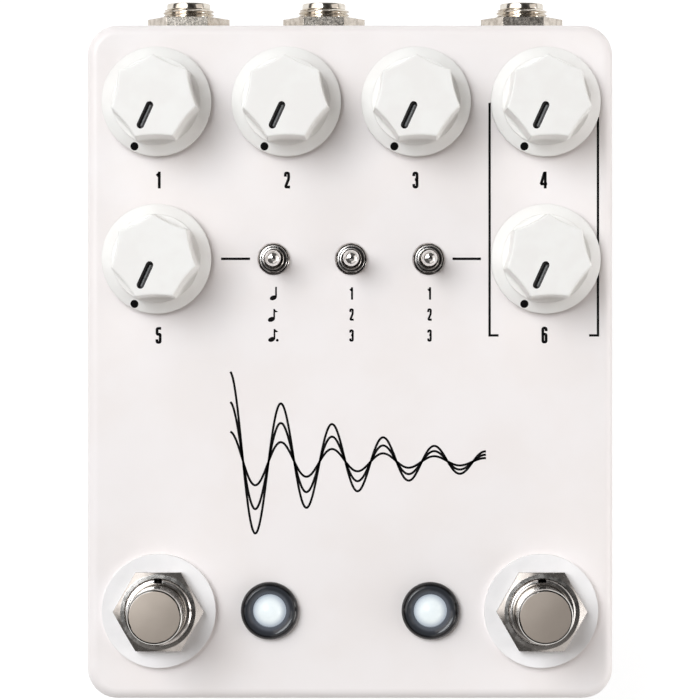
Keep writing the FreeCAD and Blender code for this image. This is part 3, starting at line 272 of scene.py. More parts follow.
def plunger_metal(slot):
    """A satin top with a painted dark ring round it, standing for dark reflections on its rounded edge, and a
    polished side.
    """
    material, shader = new_material(slot)
    top = shader.facing_up(0.975, 0.995)
    # Painted dark reflection: a dark band on the rounded edge between the satin top and the polished side
    ring = shader.facing_up(0.7, 0.8)
    satin = shader.blend(shader.tarnish(4.0), BUTTON_TOP, BUTTON_TOP_TARNISH)
    edge = shader.blend(ring, BUTTON_SIDE, BUTTON_PAINTED_DARK_REFLECTION)
    base = shader.blend(top, edge, satin)
    rough = shader.spread(top, 0.0, 1.0, *BUTTON_ROUGHNESS)
    normal = shader.bump(shader.noise(*HAIRLINES), 0.0002, shader.rounded(0.05))
    shader.finish(Base_Color=base, Metallic=1.0, Roughness=rough, Normal=normal)
    return material


def nut_metal(slot, axis, tilt):
    """Plated metal whose turned face is a little domed round an axis."""
    material, shader = new_material(slot)
    base = shader.blend(shader.tarnish(2.0), NUT_METAL, NUT_TARNISH)
    rough = shader.uneven(1.0, 5.0, 0.2, 0.3)
    scratched = shader.bump(shader.noise(*CROSSING_HAIRLINES), 0.0003, shader.rounded(0.1))
    flat = shader.facing_up(0.99, 0.998)
    domed = shader.domed(scratched, *axis, tilt)
    normal = shader.add("ShaderNodeMix", {0: flat, 4: scratched, 5: domed}, output=1, data_type="VECTOR")
    shader.finish(Base_Color=base, Metallic=1.0, Roughness=rough, Normal=normal)
    return material


def bezel_plastic(slot, axis):
    """Glossy black plastic, with a painted glow from the lens inside its crest and painted shade that makes
    it blacker outside it.
    """
    material, shader = new_material(slot)
    radius = shader.radius_from(*axis)
    # Painted light: a glow from the lens inside the crest fading to the plastic's dim black, and painted
    # shade outside the crest
    inside = shader.blend(shader.spread(radius, *BEZEL_FADE), BEZEL_PAINTED_GLOW, BEZEL_DIM)
    outside = shader.spread(radius, BEZEL_CREST + 0.1, BEZEL_CREST + 0.4)
    base = shader.blend(outside, inside, BEZEL_PAINTED_SHADE)
    rough = shader.uneven(0.8, 3.0, 0.1, 0.16)
    normal = shader.bump(shader.noise(0.5, 2.0), 0.002, shader.rounded(0.05))
    shader.finish(Base_Color=base, Roughness=rough, Normal=normal, Specular_IOR_Level=BEZEL_GLOSS)
    return material


def lit_lens(slot, axis, radius):
    """A diffused light-emitting diode, brightest round its middle."""
    material, shader = new_material(slot)
    share = shader.math("DIVIDE", shader.radius_from(*axis), radius)
    glow = shader.blend(shader.spread(share, 0.55, 1.0), LENS_MIDDLE, LENS_RIM)
    base = shader.blend(shader.uneven(0.8, 3.0), LENS_RESIN, LENS_RESIN_SHADE)
    normal = shader.bump(shader.noise(0.3, 2.0), 0.003)
    shader.finish(
        Base_Color=base, Roughness=0.3, Normal=normal, Emission_Color=glow, Emission_Strength=LENS_GLOW
    )
    return material


def circuit_board(slot):
    """Green solder resist over copper tracks, with the bare laminate at the cut edges."""
    material, shader = new_material(slot)
    place = shader.add("ShaderNodeMapping", {"Vector": shader.place(), "Scale": (1 / MM,) * 3})
    tracks = shader.add(
        "ShaderNodeTexBrick",
        {"Vector": place, "Scale": 0.28, "Mortar Size": 0.05, "Brick Width": 1.6, "Row Height": 0.55},
        output="Fac",
    )
    resist = shader.blend(tracks, BOARD_GREEN, BOARD_TRACK)
    face = shader.facing_up(0.5, 0.9)
    weave = shader.noise(0.5, 2.0, (1, 1, 6))
    base = shader.blend(face, shader.blend(weave, BOARD_LAMINATE, BOARD_FIBRE), resist)
    rough = shader.uneven(3.0, 3.0, 0.25, 0.4)
    normal = shader.bump(tracks, 0.03, shader.bump(weave, 0.004))
    shader.finish(Base_Color=base, Roughness=rough, Normal=normal)
    return material


def capacitor_can(slot):
    """An aluminium can in a printed sleeve, bare at its flat end."""
    material, shader = new_material(slot)
    end = shader.facing_up(0.6, 0.9)
    sleeve = shader.blend(shader.noise(2.0, 3.0), CAN_SLEEVE, CAN_SLEEVE_SHADE)
    base = shader.blend(end, sleeve, CAN_METAL)
    rough = shader.uneven(0.7, 4.0, 0.25, 0.4)
    normal = shader.bump(shader.noise(0.4, 2.0), 0.004, shader.rounded(0.4))
    shader.finish(Base_Color=base, Metallic=end, Roughness=rough, Normal=normal)
    return material


MATERIALS = [
    coated("white_paint", PAINT, PAINT_SHADE, (0.34, 0.42), 0.9, 0.004, worn=from_screen(228, 224, 221)),
    coated("white_paint_plate", PAINT, PAINT_SHADE, (0.4, 0.5), 0.8, 0.006, worn=from_screen(222, 218, 215)),
    coated("knob_plastic", KNOB_WHITE, KNOB_SHADE, (0.3, 0.4), 0.35, 0.002, patch=5.0,
           worn=from_screen(236, 233, 229)),
    coated("nylon", from_screen(245, 243, 243), from_screen(241, 239, 239), (0.42, 0.55), 0.5, 0.005,
           patch=4.0, edge=0.12),
    plunger_metal("nickel_button"),
    nut_metal("nickel_nut", FOOTSWITCH_AXIS, NUT_TILT),
    metal("nickel_bushing", (0.74, 0.70, 0.67), (0.64, 0.605, 0.575), (0.16, 0.24), scratch=0.0001,
          patch=2.0, edge=0),
    metal("chrome_lever", (0.94, 0.92, 0.90), (0.80, 0.78, 0.76), (0.02, 0.06), scratch=0.0001, dents=0.01,
          patch=0.5, edge=0),
    metal("jack_nickel", (0.68, 0.62, 0.55), (0.44, 0.39, 0.335), (0.2, 0.3), dents=0.012, patch=0.9),
    metal("washer_steel", (0.72, 0.70, 0.67), (0.62, 0.60, 0.57), (0.2, 0.34)),
    metal("plated_steel", (0.70, 0.69, 0.66), (0.60, 0.59, 0.56), (0.22, 0.36)),
    metal("shaft_steel", (0.62, 0.62, 0.61), (0.54, 0.54, 0.53), (0.2, 0.32)),
    metal("spring_steel", (0.58, 0.57, 0.55), (0.48, 0.47, 0.45), (0.22, 0.34), edge=0.05),
    coated("black_steel", (0.016, 0.016, 0.017), (0.024, 0.023, 0.022), (0.3, 0.42), 0.25, 0.003,
           patch=2.0, edge=0.08, worn=(0.16, 0.155, 0.15)),
    metal("pot_case", (0.66, 0.65, 0.62), (0.56, 0.55, 0.52), (0.26, 0.4)),
    coated("phenolic", (0.30, 0.155, 0.055), (0.23, 0.115, 0.04), (0.4, 0.55), 0.3, 0.006, patch=1.5),
    coated("switch_plastic", (0.30, 0.018, 0.016), (0.25, 0.014, 0.012), (0.34, 0.46), 0.4, 0.004,
           patch=4.0),
    coated("black_plastic", (0.017, 0.017, 0.018), (0.023, 0.023, 0.024), (0.36, 0.5), 0.35, 0.005,
           patch=3.0, worn=(0.05, 0.05, 0.05)),
    bezel_plastic("gloss_black_plastic", LIGHT_AXIS),
    lit_lens("lens_plastic", LIGHT_AXIS, LENS_RADIUS),
    metal("contact_metal", (0.72, 0.66, 0.52), (0.62, 0.56, 0.42), (0.2, 0.34), edge=0.05),
    circuit_board("board"),
    coated("chip_plastic", (0.014, 0.014, 0.015), (0.02, 0.02, 0.021), (0.45, 0.6), 0.2, 0.006,
           patch=1.5, worn=(0.04, 0.04, 0.04)),
    capacitor_can("capacitor_can"),
    coated("black_rubber", (0.022, 0.022, 0.023), (0.034, 0.034, 0.034), (0.55, 0.75), 0.3, 0.02,
           patch=3.0, edge=0.4, worn=(0.075, 0.074, 0.072)),
]
MATERIAL = {material.name: material for material in MATERIALS}


def black_lacquer(name, roughness, grain, depth, gloss):
    """Black ink or lacquer, a little uneven."""
    material, shader = new_material(name)
    base = shader.blend(shader.noise(0.5, 3.0), from_screen(6, 6, 7), from_screen(14, 13, 14))
    rough = shader.uneven(0.4, 3.0, *roughness)
    normal = shader.bump(shader.noise(grain, 2.0), depth)
    shader.finish(Base_Color=base, Roughness=rough, Normal=normal, Specular_IOR_Level=gloss)
    return material


JACK_THREAD_NICKEL = metal(
    "jack_thread_nickel", (0.76, 0.71, 0.64), (0.62, 0.565, 0.49), (0.1, 0.18), scratch=0.0002, patch=1.2,
    edge=0,
)
# Black ink for the print, which also paints the shade in the toggles' grooves black
INK_AND_PAINTED_SHADE = black_lacquer("print_ink_and_painted_shade", (0.42, 0.6), 0.15, 0.002, 0.08)
LACQUER = black_lacquer("pointer_lacquer", (0.16, 0.3), 0.2, 0.01, 0.35)


def paint_nodes():
    """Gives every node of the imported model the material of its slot."""
    for row in frame["record"]["subparts"]:
        for slot in frame["nodes"][row["node"]].material_slots:
            slot.material = MATERIAL[row["material_slot"]]


# Meshes

def new_piece(name, points, faces, material, body, sharp=35.0):
    """A piece from points in millimetres that rides on a body, smooth but for edges sharper than an angle."""
    mesh = bpy.data.meshes.new(name)
    mesh.from_pydata([Vector(point) * MM for point in points], [], faces)
    mesh.shade_smooth()
    mesh.set_sharp_from_angle(angle=math.radians(sharp))
    mesh.materials.append(material)
    piece = bpy.data.objects.new(name, mesh)
    bpy.context.scene.collection.objects.link(piece)
    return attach(piece, body)


def grid_faces(rows, columns, closed_rows=True):
    """Faces between rows of points that each go round in a ring, the last row joined to the first or not."""
    faces = []
    for row in range(rows if closed_rows else rows - 1):
        above = (row + 1) % rows
        for column in range(columns):
            beside = (column + 1) % columns
            faces.append((
                row * columns + column,
                row * columns + beside,
                above * columns + beside,
                above * columns + column,
            ))
    return faces


# Threaded bushings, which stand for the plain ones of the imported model

ROWS_PER_TURN = 8
THREAD_FLAT = 0.15                  # the share of half a pitch that is flat, at the crest and at the root
THREAD_FLANK = 1 - 2 * THREAD_FLAT


class Thread:
    """A helical groove round a bushing, whose crests meet the X axis a phase, in turns, above z = 0."""

    def __init__(self, radius, pitch, depth, phase=0.0):
        self.radius = radius
        self.pitch = pitch
        self.depth = depth
        self.phase = phase

    def rows(self, bottom, top, cone):
        """The outline of a threaded stretch, as (radius, z, groove depth) rows, with a cone at its top."""
        count = round((top - bottom) / self.pitch * ROWS_PER_TURN)
        rows = []
        for number in range(count + 1):
            z = bottom + (top - bottom) * number / count
            fade = min(1.0, 2 * (z - bottom) / self.pitch)
            cut = max(0.0, z - top + cone)
            rows.append((self.radius - cut, z, self.depth * fade))
        return rows

    def reach(self, radius, z, angle, depth):
        """How far out the surface is at an angle, in an outline's row."""
        if not depth:
            return radius
        turns = z / self.pitch - angle / (2 * math.pi) - self.phase
        from_root = abs(2 * (turns % 1) - 1)
        share = 1 - min(1, max(0, (from_root - THREAD_FLAT) / THREAD_FLANK))
        return min(radius, self.radius - depth * share)


def swept(outline, thread, angles, shape=None):
    """The points and faces of an outline swept round the Z axis, each point passed through a shape."""
    points = []
    for radius, z, depth in outline:
        for column, angle in enumerate(angles):
            reach = thread.reach(radius, z, angle, depth)
            point = (reach * math.cos(angle), reach * math.sin(angle), z)
            points.append(shape(column, *point) if shape else point)
    return points, grid_faces(len(outline), len(angles))


def even_angles(count):
    """Angles at even steps round a turn."""
    return [2 * math.pi * number / count for number in range(count)]


def plain(*rows):
    """Rows of an outline that have no groove in them."""
    return [(radius, z, 0.0) for radius, z in rows]


def stand_in(name, copies, nodes, finish=None, dark=()):
    """One piece of shapes that stands for CAD nodes of the case, in a finish or that of their slot.

    The faces numbered in dark, of each shape, are painted black as shade.
    """
    points, faces = [], []
    for shape_points, shape_faces in copies:
        faces += [tuple(index + len(points) for index in face) for face in shape_faces]
        points += shape_points
    slot = next(row["material_slot"] for row in frame["record"]["subparts"] if row["node"] == nodes[0])
    piece = new_piece(name, points, faces, finish or MATERIAL[slot], "case", sharp=25.0)
    if dark:
        piece.data.materials.append(INK_AND_PAINTED_SHADE)
        for number, face in enumerate(piece.data.polygons):
            face.material_index = int(number % len(copies[0][1]) in dark)
    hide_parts(*nodes)


TOGGLE_PLACES = [(-13.65, 15.6), (0.2, 15.6), (14.05, 15.6)]
TOGGLE_THREAD = Thread(2.8, 0.5, 0.22)
TOGGLE_STEPS = 72                   # round the axis
TOGGLE_FLAT_Y = -2.35
TOGGLE_FLANGE = (4.0, 5.0)          # half its width and length
TOGGLE_FLANGE_CORNER = 6.5          # a radius beyond its corners, which are cut back to it
TOGGLE_FLANGE_TOP = -2.5
TOGGLE_FLANGE_BOTTOM = -3.1
TOGGLE_THREAD_FOOT = -2.0
TOGGLE_MOUTH = 1.3
TOGGLE_MOUTH_CONE = 0.4
TOGGLE_SLOPE = 0.022                # of the mouth's two rings, outwards
# Painted shade reaches in round the outer edge of the mouth's cone
TOGGLE_PAINTED_SHADE_EDGE = 2.5              # how far in the painted shade round the cone reaches
TOGGLE_GROOVE = (2.0, 2.2, 0.5)     # its inner and outer radius, and its depth
TOGGLE_INNER_LIP = 1.82
TOGGLE_BORE = [(1.766, 1.26), (1.462, 0.2), (1.462, -0.125), (1.64, -0.45), (1.64, TOGGLE_FLANGE_BOTTOM)]


def on_toggle_flats(_, x, y, z):
    """A point of a toggle's bushing, held inside its square flange or behind the flat on its thread."""
    half_width, half_length = TOGGLE_FLANGE
    if math.hypot(x, y) > half_width:
        return max(-half_width, min(half_width, x)), max(-half_length, min(half_length, y)), z
    return x, max(TOGGLE_FLAT_Y, y), z


def toggle_bushings():
    """The three toggles' bushings: a ball seat inside, a ring cut in the mouth, a thread and a flange."""
    inner, outer, depth = TOGGLE_GROOVE
    slope_foot = TOGGLE_MOUTH - TOGGLE_SLOPE
    outline = plain(
        (outer, TOGGLE_MOUTH),
        (outer, TOGGLE_MOUTH - depth),
        (inner, TOGGLE_MOUTH - depth),
        (inner, slope_foot),
        (TOGGLE_INNER_LIP, TOGGLE_MOUTH),
        *TOGGLE_BORE,
        (TOGGLE_FLANGE_CORNER, TOGGLE_FLANGE_BOTTOM),
        (TOGGLE_FLANGE_CORNER, TOGGLE_FLANGE_TOP),
        (TOGGLE_THREAD.radius, TOGGLE_FLANGE_TOP),
    )
    outline += TOGGLE_THREAD.rows(TOGGLE_THREAD_FOOT, slope_foot, TOGGLE_MOUTH_CONE)
    flat_end = math.acos(-TOGGLE_FLAT_Y / TOGGLE_THREAD.radius)
    corner = math.atan2(TOGGLE_FLANGE[1], TOGGLE_FLANGE[0])
    exact = [1.5 * math.pi - flat_end, 1.5 * math.pi + flat_end]
    exact += [corner, math.pi - corner, math.pi + corner, 2 * math.pi - corner]
    angles = sorted(even_angles(TOGGLE_STEPS) + exact)
    points, faces = swept(outline, TOGGLE_THREAD, angles, on_toggle_flats)
    # Painted shade: the groove in the mouth and the outer edge of the cone are made black
    groove_rows = [0, 1, 2]
    painted_shade_rows = groove_rows + [
        row for row, (radius, z, _) in enumerate(outline)
        if z > slope_foot - TOGGLE_MOUTH_CONE and radius > TOGGLE_PAINTED_SHADE_EDGE
    ]
    dark = {row * len(angles) + column for row in painted_shade_rows for column in range(len(angles))}
    copies = []
    for at_x, at_y in TOGGLE_PLACES:
        copies.append(([(at_x + x, at_y + y, panel_z + z) for x, y, z in points], faces))
    stand_in("threaded_toggle_bushings", copies, ["toggle_bushings"], dark=dark)


FOOTSWITCH_PLACES = {
    "left": (-FOOTSWITCH_AXIS[0], FOOTSWITCH_AXIS[1]),
    "right": FOOTSWITCH_AXIS,
}
FOOTSWITCH_THREAD = Thread(5.95, 0.75, 0.34)
FOOTSWITCH_THREAD_GAPS = (0.2, 0.06)        # from the flange to its foot, and from its end to the top
FOOTSWITCH_STEPS = 120                      # round the axis
FOOTSWITCH_BORE = 4.89
FOOTSWITCH_TOP = 4.8
FOOTSWITCH_CONE = 0.3
FOOTSWITCH_FLANGE = (6.9, -4.5, -5.5)       # its radius, top and bottom
# The rounded mouth from the thread to the bore, as radii and how far below the top they are
FOOTSWITCH_MOUTH = [(5.5, 0.03), (5.35, 0.0), (5.2, 0.0), (5.05, 0.05), (4.93, 0.15), (FOOTSWITCH_BORE, 0.3)]
KEYWAY_HALF_WIDTH = 0.775
KEYWAY_FLOOR = 5.15


def footswitch_bushing(side):
    """A footswitch's bushing, with a rounded mouth, a thread, a flange, and a keyway down its rear."""
    flange_radius, flange_top, flange_bottom = FOOTSWITCH_FLANGE
    outline = plain(
        *[(radius, FOOTSWITCH_TOP - below) for radius, below in FOOTSWITCH_MOUTH],
        (FOOTSWITCH_BORE, flange_bottom),
        (flange_radius, flange_bottom),
        (flange_radius, flange_top),
        (FOOTSWITCH_THREAD.radius, flange_top),
    )
    foot_gap, end_gap = FOOTSWITCH_THREAD_GAPS
    outline += FOOTSWITCH_THREAD.rows(flange_top + foot_gap, FOOTSWITCH_TOP - end_gap, FOOTSWITCH_CONE)
    notch = math.asin(KEYWAY_HALF_WIDTH / FOOTSWITCH_THREAD.radius)
    walls = [math.pi / 2 - notch] * 2 + [math.pi / 2 + notch] * 2
    angles = sorted(even_angles(FOOTSWITCH_STEPS) + walls)
    first = angles.index(walls[0]) + 1
    last = len(angles) - 2 - angles[::-1].index(walls[2])

    def keyed(column, x, y, z):
        in_slot = first <= column <= last and z > flange_top
        return (x, min(y, KEYWAY_FLOOR), z) if in_slot else (x, y, z)

    at_x, at_y = FOOTSWITCH_PLACES[side]
    points, faces = swept(outline, FOOTSWITCH_THREAD, angles, keyed)
    points = [(at_x + x, at_y + y, panel_z + z) for x, y, z in points]
    stand_in(f"threaded_{side}_bushing", [(points, faces)], [f"footswitch_{side}_bushing"])


def return_spring(side):
    """A footswitch's return spring, copied from its node to ride on the case."""
    node = f"footswitch_{side}_spring"
    spring = bpy.data.objects.new(f"coiled_{side}_spring", frame["nodes"][node].data.copy())
    bpy.context.scene.collection.objects.link(spring)
    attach(spring, "case")
    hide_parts(node)
    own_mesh(spring)


JACK_XS = (-29.7, -4.8, 31.6)
SOCKETS_Z = 21.0
JACK_INSIDE = -5.0
JACK_BORE_RADIUS = 3.25
JACK_THREAD = Thread(4.7, 0.66, 0.36, 0.2)
JACK_THREAD_END = 4.3
JACK_CONE = 0.2
JACK_STEPS = 96                     # round the axis
JACK_CROWN_RADIUS = 4.0
JACK_CROWN_EDGE = 0.28
JACK_CROWN_NECK = (0.1, 0.06, 0.2)  # how far its foot is in, and where that ends above the thread
JACK_REACH = 5.5


def jack_bushings():
    """The three jacks' bushings: a thread outside the wall, a crown at its end and a bore for the plug."""
    neck_in, neck_low, neck_high = JACK_CROWN_NECK
    outline = plain(
        (JACK_CROWN_RADIUS - neck_in, JACK_THREAD_END + neck_low),
        (JACK_CROWN_RADIUS, JACK_THREAD_END + neck_high),
        (JACK_CROWN_RADIUS, JACK_REACH - JACK_CROWN_EDGE),
        (JACK_CROWN_RADIUS - JACK_CROWN_EDGE * 0.3, JACK_REACH - JACK_CROWN_EDGE * 0.3),
        (JACK_CROWN_RADIUS - JACK_CROWN_EDGE, JACK_REACH),
        (JACK_BORE_RADIUS + JACK_CROWN_EDGE, JACK_REACH),
        (JACK_BORE_RADIUS, JACK_REACH - JACK_CROWN_EDGE),
        (JACK_BORE_RADIUS, JACK_INSIDE),
        (JACK_THREAD.radius, JACK_INSIDE),
    )
    outline += JACK_THREAD.rows(0.0, JACK_THREAD_END, JACK_CONE)
    points, faces = swept(outline, JACK_THREAD, even_angles(JACK_STEPS))
    copies = []
    for at_x in JACK_XS:
        copies.append(([(at_x + x, rear_wall_y + z, SOCKETS_Z - y) for x, y, z in points], faces))
    stand_in("threaded_jack_bushings", copies, ["jack_bushings"], JACK_THREAD_NICKEL)


# Pointers and skirt dots, which turn with their knobs

POINTER_ANGLE = math.radians(-114.5)
POINTER_START = 0.85
POINTER_END = 6.0
POINTER_WIDTH = 1.32
POINTER_SAG = 0.22
POINTER_RIM = 0.15                  # the share of its half width that lies on the plastic beside the groove
POINTER_RISE = 10                   # its rim rises to the full lift in the first tenth of its half width
DOT_ANGLE = math.radians(-115.7)
DOT_RADIUS = 0.72
DOT_DISTANCE = 8.93
DOT_RIM_LIFT = 0.3                  # the share of its lift that its rim has
PRINT_LIFT = 0.02                   # of ink and lacquer over the surface that carries it


def turned_by(x, y, angle):
    """A place in the plan, turned about the middle."""
    return x * math.cos(angle) - y * math.sin(angle), x * math.sin(angle) + y * math.cos(angle)


def pointer(number):
    """Lacquer that fills a knob's groove, hollow on top: rings that close in on the groove's middle line."""
    low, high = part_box(f"knob_{number}")
    middle = (low + high) / 2 / MM
    top = high.z / MM
    half = POINTER_WIDTH / 2
    start, end = POINTER_START + half, POINTER_END - half
    steps, rings = 12, 8
    points = []
    for ring in range(rings + 1):
        share = 1 - ring / rings
        hollow = max(0.0, 1 - (share / (1 - POINTER_RIM)) ** 2)
        z = top + PRINT_LIFT * min(1.0, POINTER_RISE * (1 - share)) - POINTER_SAG * hollow
        for cap, first in ((end, -90), (start, 90)):
            for step in range(steps + 1):
                angle = math.radians(first + 180 * step / steps)
                x, y = cap + half * share * math.cos(angle), half * share * math.sin(angle)
                x, y = turned_by(x, y, POINTER_ANGLE)
                points.append((middle.x + x, middle.y + y, z))
    columns = 2 * (steps + 1)
    faces = grid_faces(rings + 1, columns, closed_rows=False)
    piece = new_piece(f"knob_{number}_pointer", points, faces, LACQUER, f"knob_{number}", sharp=80)


def surface_under(name):
    """A function that gives the height of a node's surface over a point of the plan, in millimetres."""
    mesh = frame["nodes"][name].data
    tree = BVHTree.FromPolygons([v.co for v in mesh.vertices], [p.vertices for p in mesh.polygons])

    def height(x, y):
        hit = tree.ray_cast(Vector((x * MM, y * MM, 1.0)), Vector((0, 0, -1)))[0]
        return hit.z / MM

    return height


def skirt_dot(number):
    """The dot at the end of a pointer, laid on the skirt's slope."""
    low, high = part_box(f"knob_{number}")
    middle = (low + high) / 2 / MM
    height = surface_under(f"knob_{number}")
    dot_x, dot_y = turned_by(DOT_DISTANCE, 0, DOT_ANGLE)
    rings, columns = 4, 32
    points = []
    for ring in range(rings + 1):
        radius = DOT_RADIUS * (1 - ring / rings)
        lift = PRINT_LIFT * (DOT_RIM_LIFT if ring == 0 else 1)
        for column in range(columns):
            angle = 2 * math.pi * column / columns
            x = middle.x + dot_x + radius * math.cos(angle)
            y = middle.y + dot_y + radius * math.sin(angle)
            points.append((x, y, height(x, y) + lift))
    faces = grid_faces(rings + 1, columns, closed_rows=False)
    piece = new_piece(f"knob_{number}_dot", points, faces, INK_AND_PAINTED_SHADE, f"knob_{number}")


# Print on the panel

LINE_WIDTH = 0.42
DASH_WIDTH = 0.44
DASHES = [
    [(-23.05, 15.65), (-17.87, 15.65)],
    [(18.32, 15.65), (23.41, 15.65)],
]
BRACKET = [
    [(24.95, 43.54), (24.95, 1.96), (26.55, 1.96)],
    [(44.32, 40.99), (44.32, 1.96), (42.73, 1.96)],
]
KNOB_LABELS = [
    (-34.22, 29.73), (-11.26, 29.73), (11.69, 29.73), (34.69, 29.73), (-34.22, 1.96), (34.76, 2.03),
]
KNOB_LABEL_HEIGHT = 3.0
TOGGLE_LABEL_XS = (0.27, 14.21)
TOGGLE_LABEL_YS = (9.46, 5.69, 1.94)
TOGGLE_LABEL_HEIGHT = 2.2
NUMERAL_WIDTH = 0.36                # of its height
NUMERAL_STROKE = 0.165
NUMERAL_ROUNDING = 0.45             # of its width
SHARPEST_CORNER = 0.35              # a stroke's corner reaches out by up to half its width over this

# Numerals as strokes, each with its points. The middle lines keep to a square from (0, 0) to (1, 1), and
# ends go beyond it by half a stroke's width, which is 0.1 in height and 0.42 across.
NUMERALS = {
    1: [[(0.72, -0.1), (0.72, 1.1)], [(0.72, 0.96), (-0.1, 0.8)]],
    2: [[(0, 0.74), (0, 1), (1, 1), (1, 0.58), (0, 0), (1.42, 0)]],
    3: [
        [(0, 0.78), (0, 1), (1, 1), (1, 0.53), (0.35, 0.53)],
        [(0.35, 0.53), (1, 0.53), (1, 0), (0, 0), (0, 0.22)],
    ],
    4: [[(0.85, -0.1), (0.85, 1.1)], [(0.62, 1.05), (-0.45, 0.2)], [(-0.6, 0.22), (1.42, 0.22)]],
    5: [[(1.3, 1), (0.05, 1), (0.05, 0.56), (1, 0.6), (1, 0), (0, 0), (0, 0.22)]],
    6: [[(1, 0.78), (1, 1), (0, 1), (0, 0), (1, 0), (1, 0.56), (0.05, 0.56)]],
}


def rounded_line(points, radius, steps=6):
    """A line of points with its corners rounded off."""
    line = [points[0]]
    for before, corner, after in zip(points, points[1:], points[2:]):
        corner_at = Vector(corner)
        towards_before = Vector(before) - corner_at
        towards_after = Vector(after) - corner_at
        cut = min(radius, towards_before.length / 2, towards_after.length / 2)
        start = corner_at + towards_before.normalized() * cut
        end = corner_at + towards_after.normalized() * cut
        for step in range(steps + 1):
            share = step / steps
            line.append(tuple(start.lerp(corner_at, share).lerp(corner_at.lerp(end, share), share)))
    line.append(points[-1])
    return line


def stroke(points, width):
    """A flat ribbon along a line of points, with sharp corners, as its points and faces."""
    line = [Vector(point) for point in points]
    sides = []
    for index, point in enumerate(line):
        into = (point - line[index - 1]).normalized() if index else None
        out = (line[index + 1] - point).normalized() if index + 1 < len(line) else None
        ahead = ((into or out) + (out or into)).normalized()
        across = Vector((-ahead.y, ahead.x))
        reach = width / 2 / max(SHARPEST_CORNER, ahead.dot(out or into))
        sides += [point + across * reach, point - across * reach]
    faces = [(2 * i + 1, 2 * i + 3, 2 * i + 2, 2 * i) for i in range(len(line) - 1)]
    return [tuple(side) for side in sides], faces


def filled(points):
    """A flat filled outline, as its points and one face."""
    return list(points), [tuple(range(len(points)))]


def numeral(digit, x, y, height):
    """A narrow numeral with its middle at a place."""
    line_width = height * NUMERAL_STROKE
    width = height * NUMERAL_WIDTH - line_width
    tall = height - line_width
    shapes = []
    for points in NUMERALS[digit]:
        placed = [(x + (px - 0.5) * width, y + (py - 0.5) * tall) for px, py in points]
        shapes.append(stroke(rounded_line(placed, width * NUMERAL_ROUNDING), line_width))
    return shapes


def oval(x, y, length, width, degrees, steps=24):
    """A flat oval with its middle at a place, sloped by degrees."""
    points = []
    for step in range(steps):
        angle = 2 * math.pi * step / steps
        px, py = turned_by(length / 2 * math.cos(angle), width / 2 * math.sin(angle), math.radians(degrees))
        points.append((x + px, y + py))
    return filled(points)


NOTE_HEAD = (1.3, 0.82, 22)         # its length, width and slope in degrees
NOTE_STEM_WIDTH = 0.3
NOTE_FLAG = [(0, 0), (0, -0.5), (0.34, -0.6), (0.7, -0.46), (0.34, -0.28)]      # from the top of the stem
NOTE_DOT = (1.0, -0.14, 0.5)        # its place from the head, and its size
# Where each note's head is and how high its stem goes, and what else it has
NOTES = [
    ((-13.72, 8.68, 10.64), {}),
    ((-14.05, 4.82, 6.68), {"flag": True}),
    ((-14.0, 1.24, 3.12), {"flag": True, "dot": True}),
]


def note(x, y, top, flag=False, dot=False):
    """A note with its head at a place and its stem up to a height."""
    stem_x = x + NOTE_HEAD[0] / 2 - NOTE_STEM_WIDTH / 2
    shapes = [oval(x, y, *NOTE_HEAD), stroke([(stem_x, y + 0.1), (stem_x, top)], NOTE_STEM_WIDTH)]
    if flag:
        shapes.append(filled([(stem_x + along, top + up) for along, up in NOTE_FLAG]))
    if dot:
        along, up, size = NOTE_DOT
        shapes.append(oval(x + along, y + up, size, size, 0, 16))
    return shapes


def printed(name, shapes):
    """One printed piece from flat shapes, a little above the panel and as thick as the gap."""
    points, faces = [], []
    for shape_points, shape_faces in shapes:
        faces += [tuple(index + len(points) for index in face) for face in shape_faces]
        points += [(x, y, panel_z + PRINT_LIFT) for x, y in shape_points]
    piece = new_piece(name, points, faces, INK_AND_PAINTED_SHADE, "case")
    body = piece.modifiers.new("thickness", "SOLIDIFY")
    body.thickness = PRINT_LIFT * MM
    body.offset = -1


def panel_lines():
    """The dashes beside the outer toggles, and the bracket that ties the right-hand knobs together."""
    dashes = [stroke(line, DASH_WIDTH) for line in DASHES]
    printed("panel_lines", dashes + [stroke(line, LINE_WIDTH) for line in BRACKET])


def panel_numerals():
    """A number in front of each knob, and one for each place of the middle and the right toggle."""
    shapes = []
    for digit, (x, y) in enumerate(KNOB_LABELS, 1):
        shapes += numeral(digit, x, y, KNOB_LABEL_HEIGHT)
    for x in TOGGLE_LABEL_XS:
        for digit, y in enumerate(TOGGLE_LABEL_YS, 1):
            shapes += numeral(digit, x, y, TOGGLE_LABEL_HEIGHT)
    printed("panel_numerals", shapes)


def panel_notes():
    """Note values in front of the left toggle: a quarter, an eighth and a dotted eighth."""
    printed("panel_notes", [shape for place, marks in NOTES for shape in note(*place, **marks)])


WAVE_LEFT = -21.4
WAVE_RIGHT = 24.3
WAVE_MIDDLE_Y = -20.55
WAVE_HEIGHTS = (16.0, 10.6, 5.3)    # of the outer, middle and inner line, where they start
WAVE_PERIODS = 5
WAVE_DECAY = 2.2
WAVE_LINE = 0.4
WAVE_STEPS = 400


def panel_wave():
    """A plain ornament: one wave that dies away to the right, drawn three times, each inside the last."""
    shapes = []
    for height in WAVE_HEIGHTS:
        line = []
        for step in range(WAVE_STEPS + 1):
            share = step / WAVE_STEPS
            swing = math.cos(2 * math.pi * WAVE_PERIODS * share)
            x = WAVE_LEFT + (WAVE_RIGHT - WAVE_LEFT) * share
            line.append((x, WAVE_MIDDLE_Y + height * math.exp(-WAVE_DECAY * share) * swing))
        shapes.append(stroke(line, WAVE_LINE))
    printed("panel_wave", shapes)


# Studio: camera, lamp, world and floor

CAMERA_HEIGHT = 660.0
CAMERA_Y = -0.65
CAMERA_LENS = 178.4
SENSOR_WIDTH = 36.0
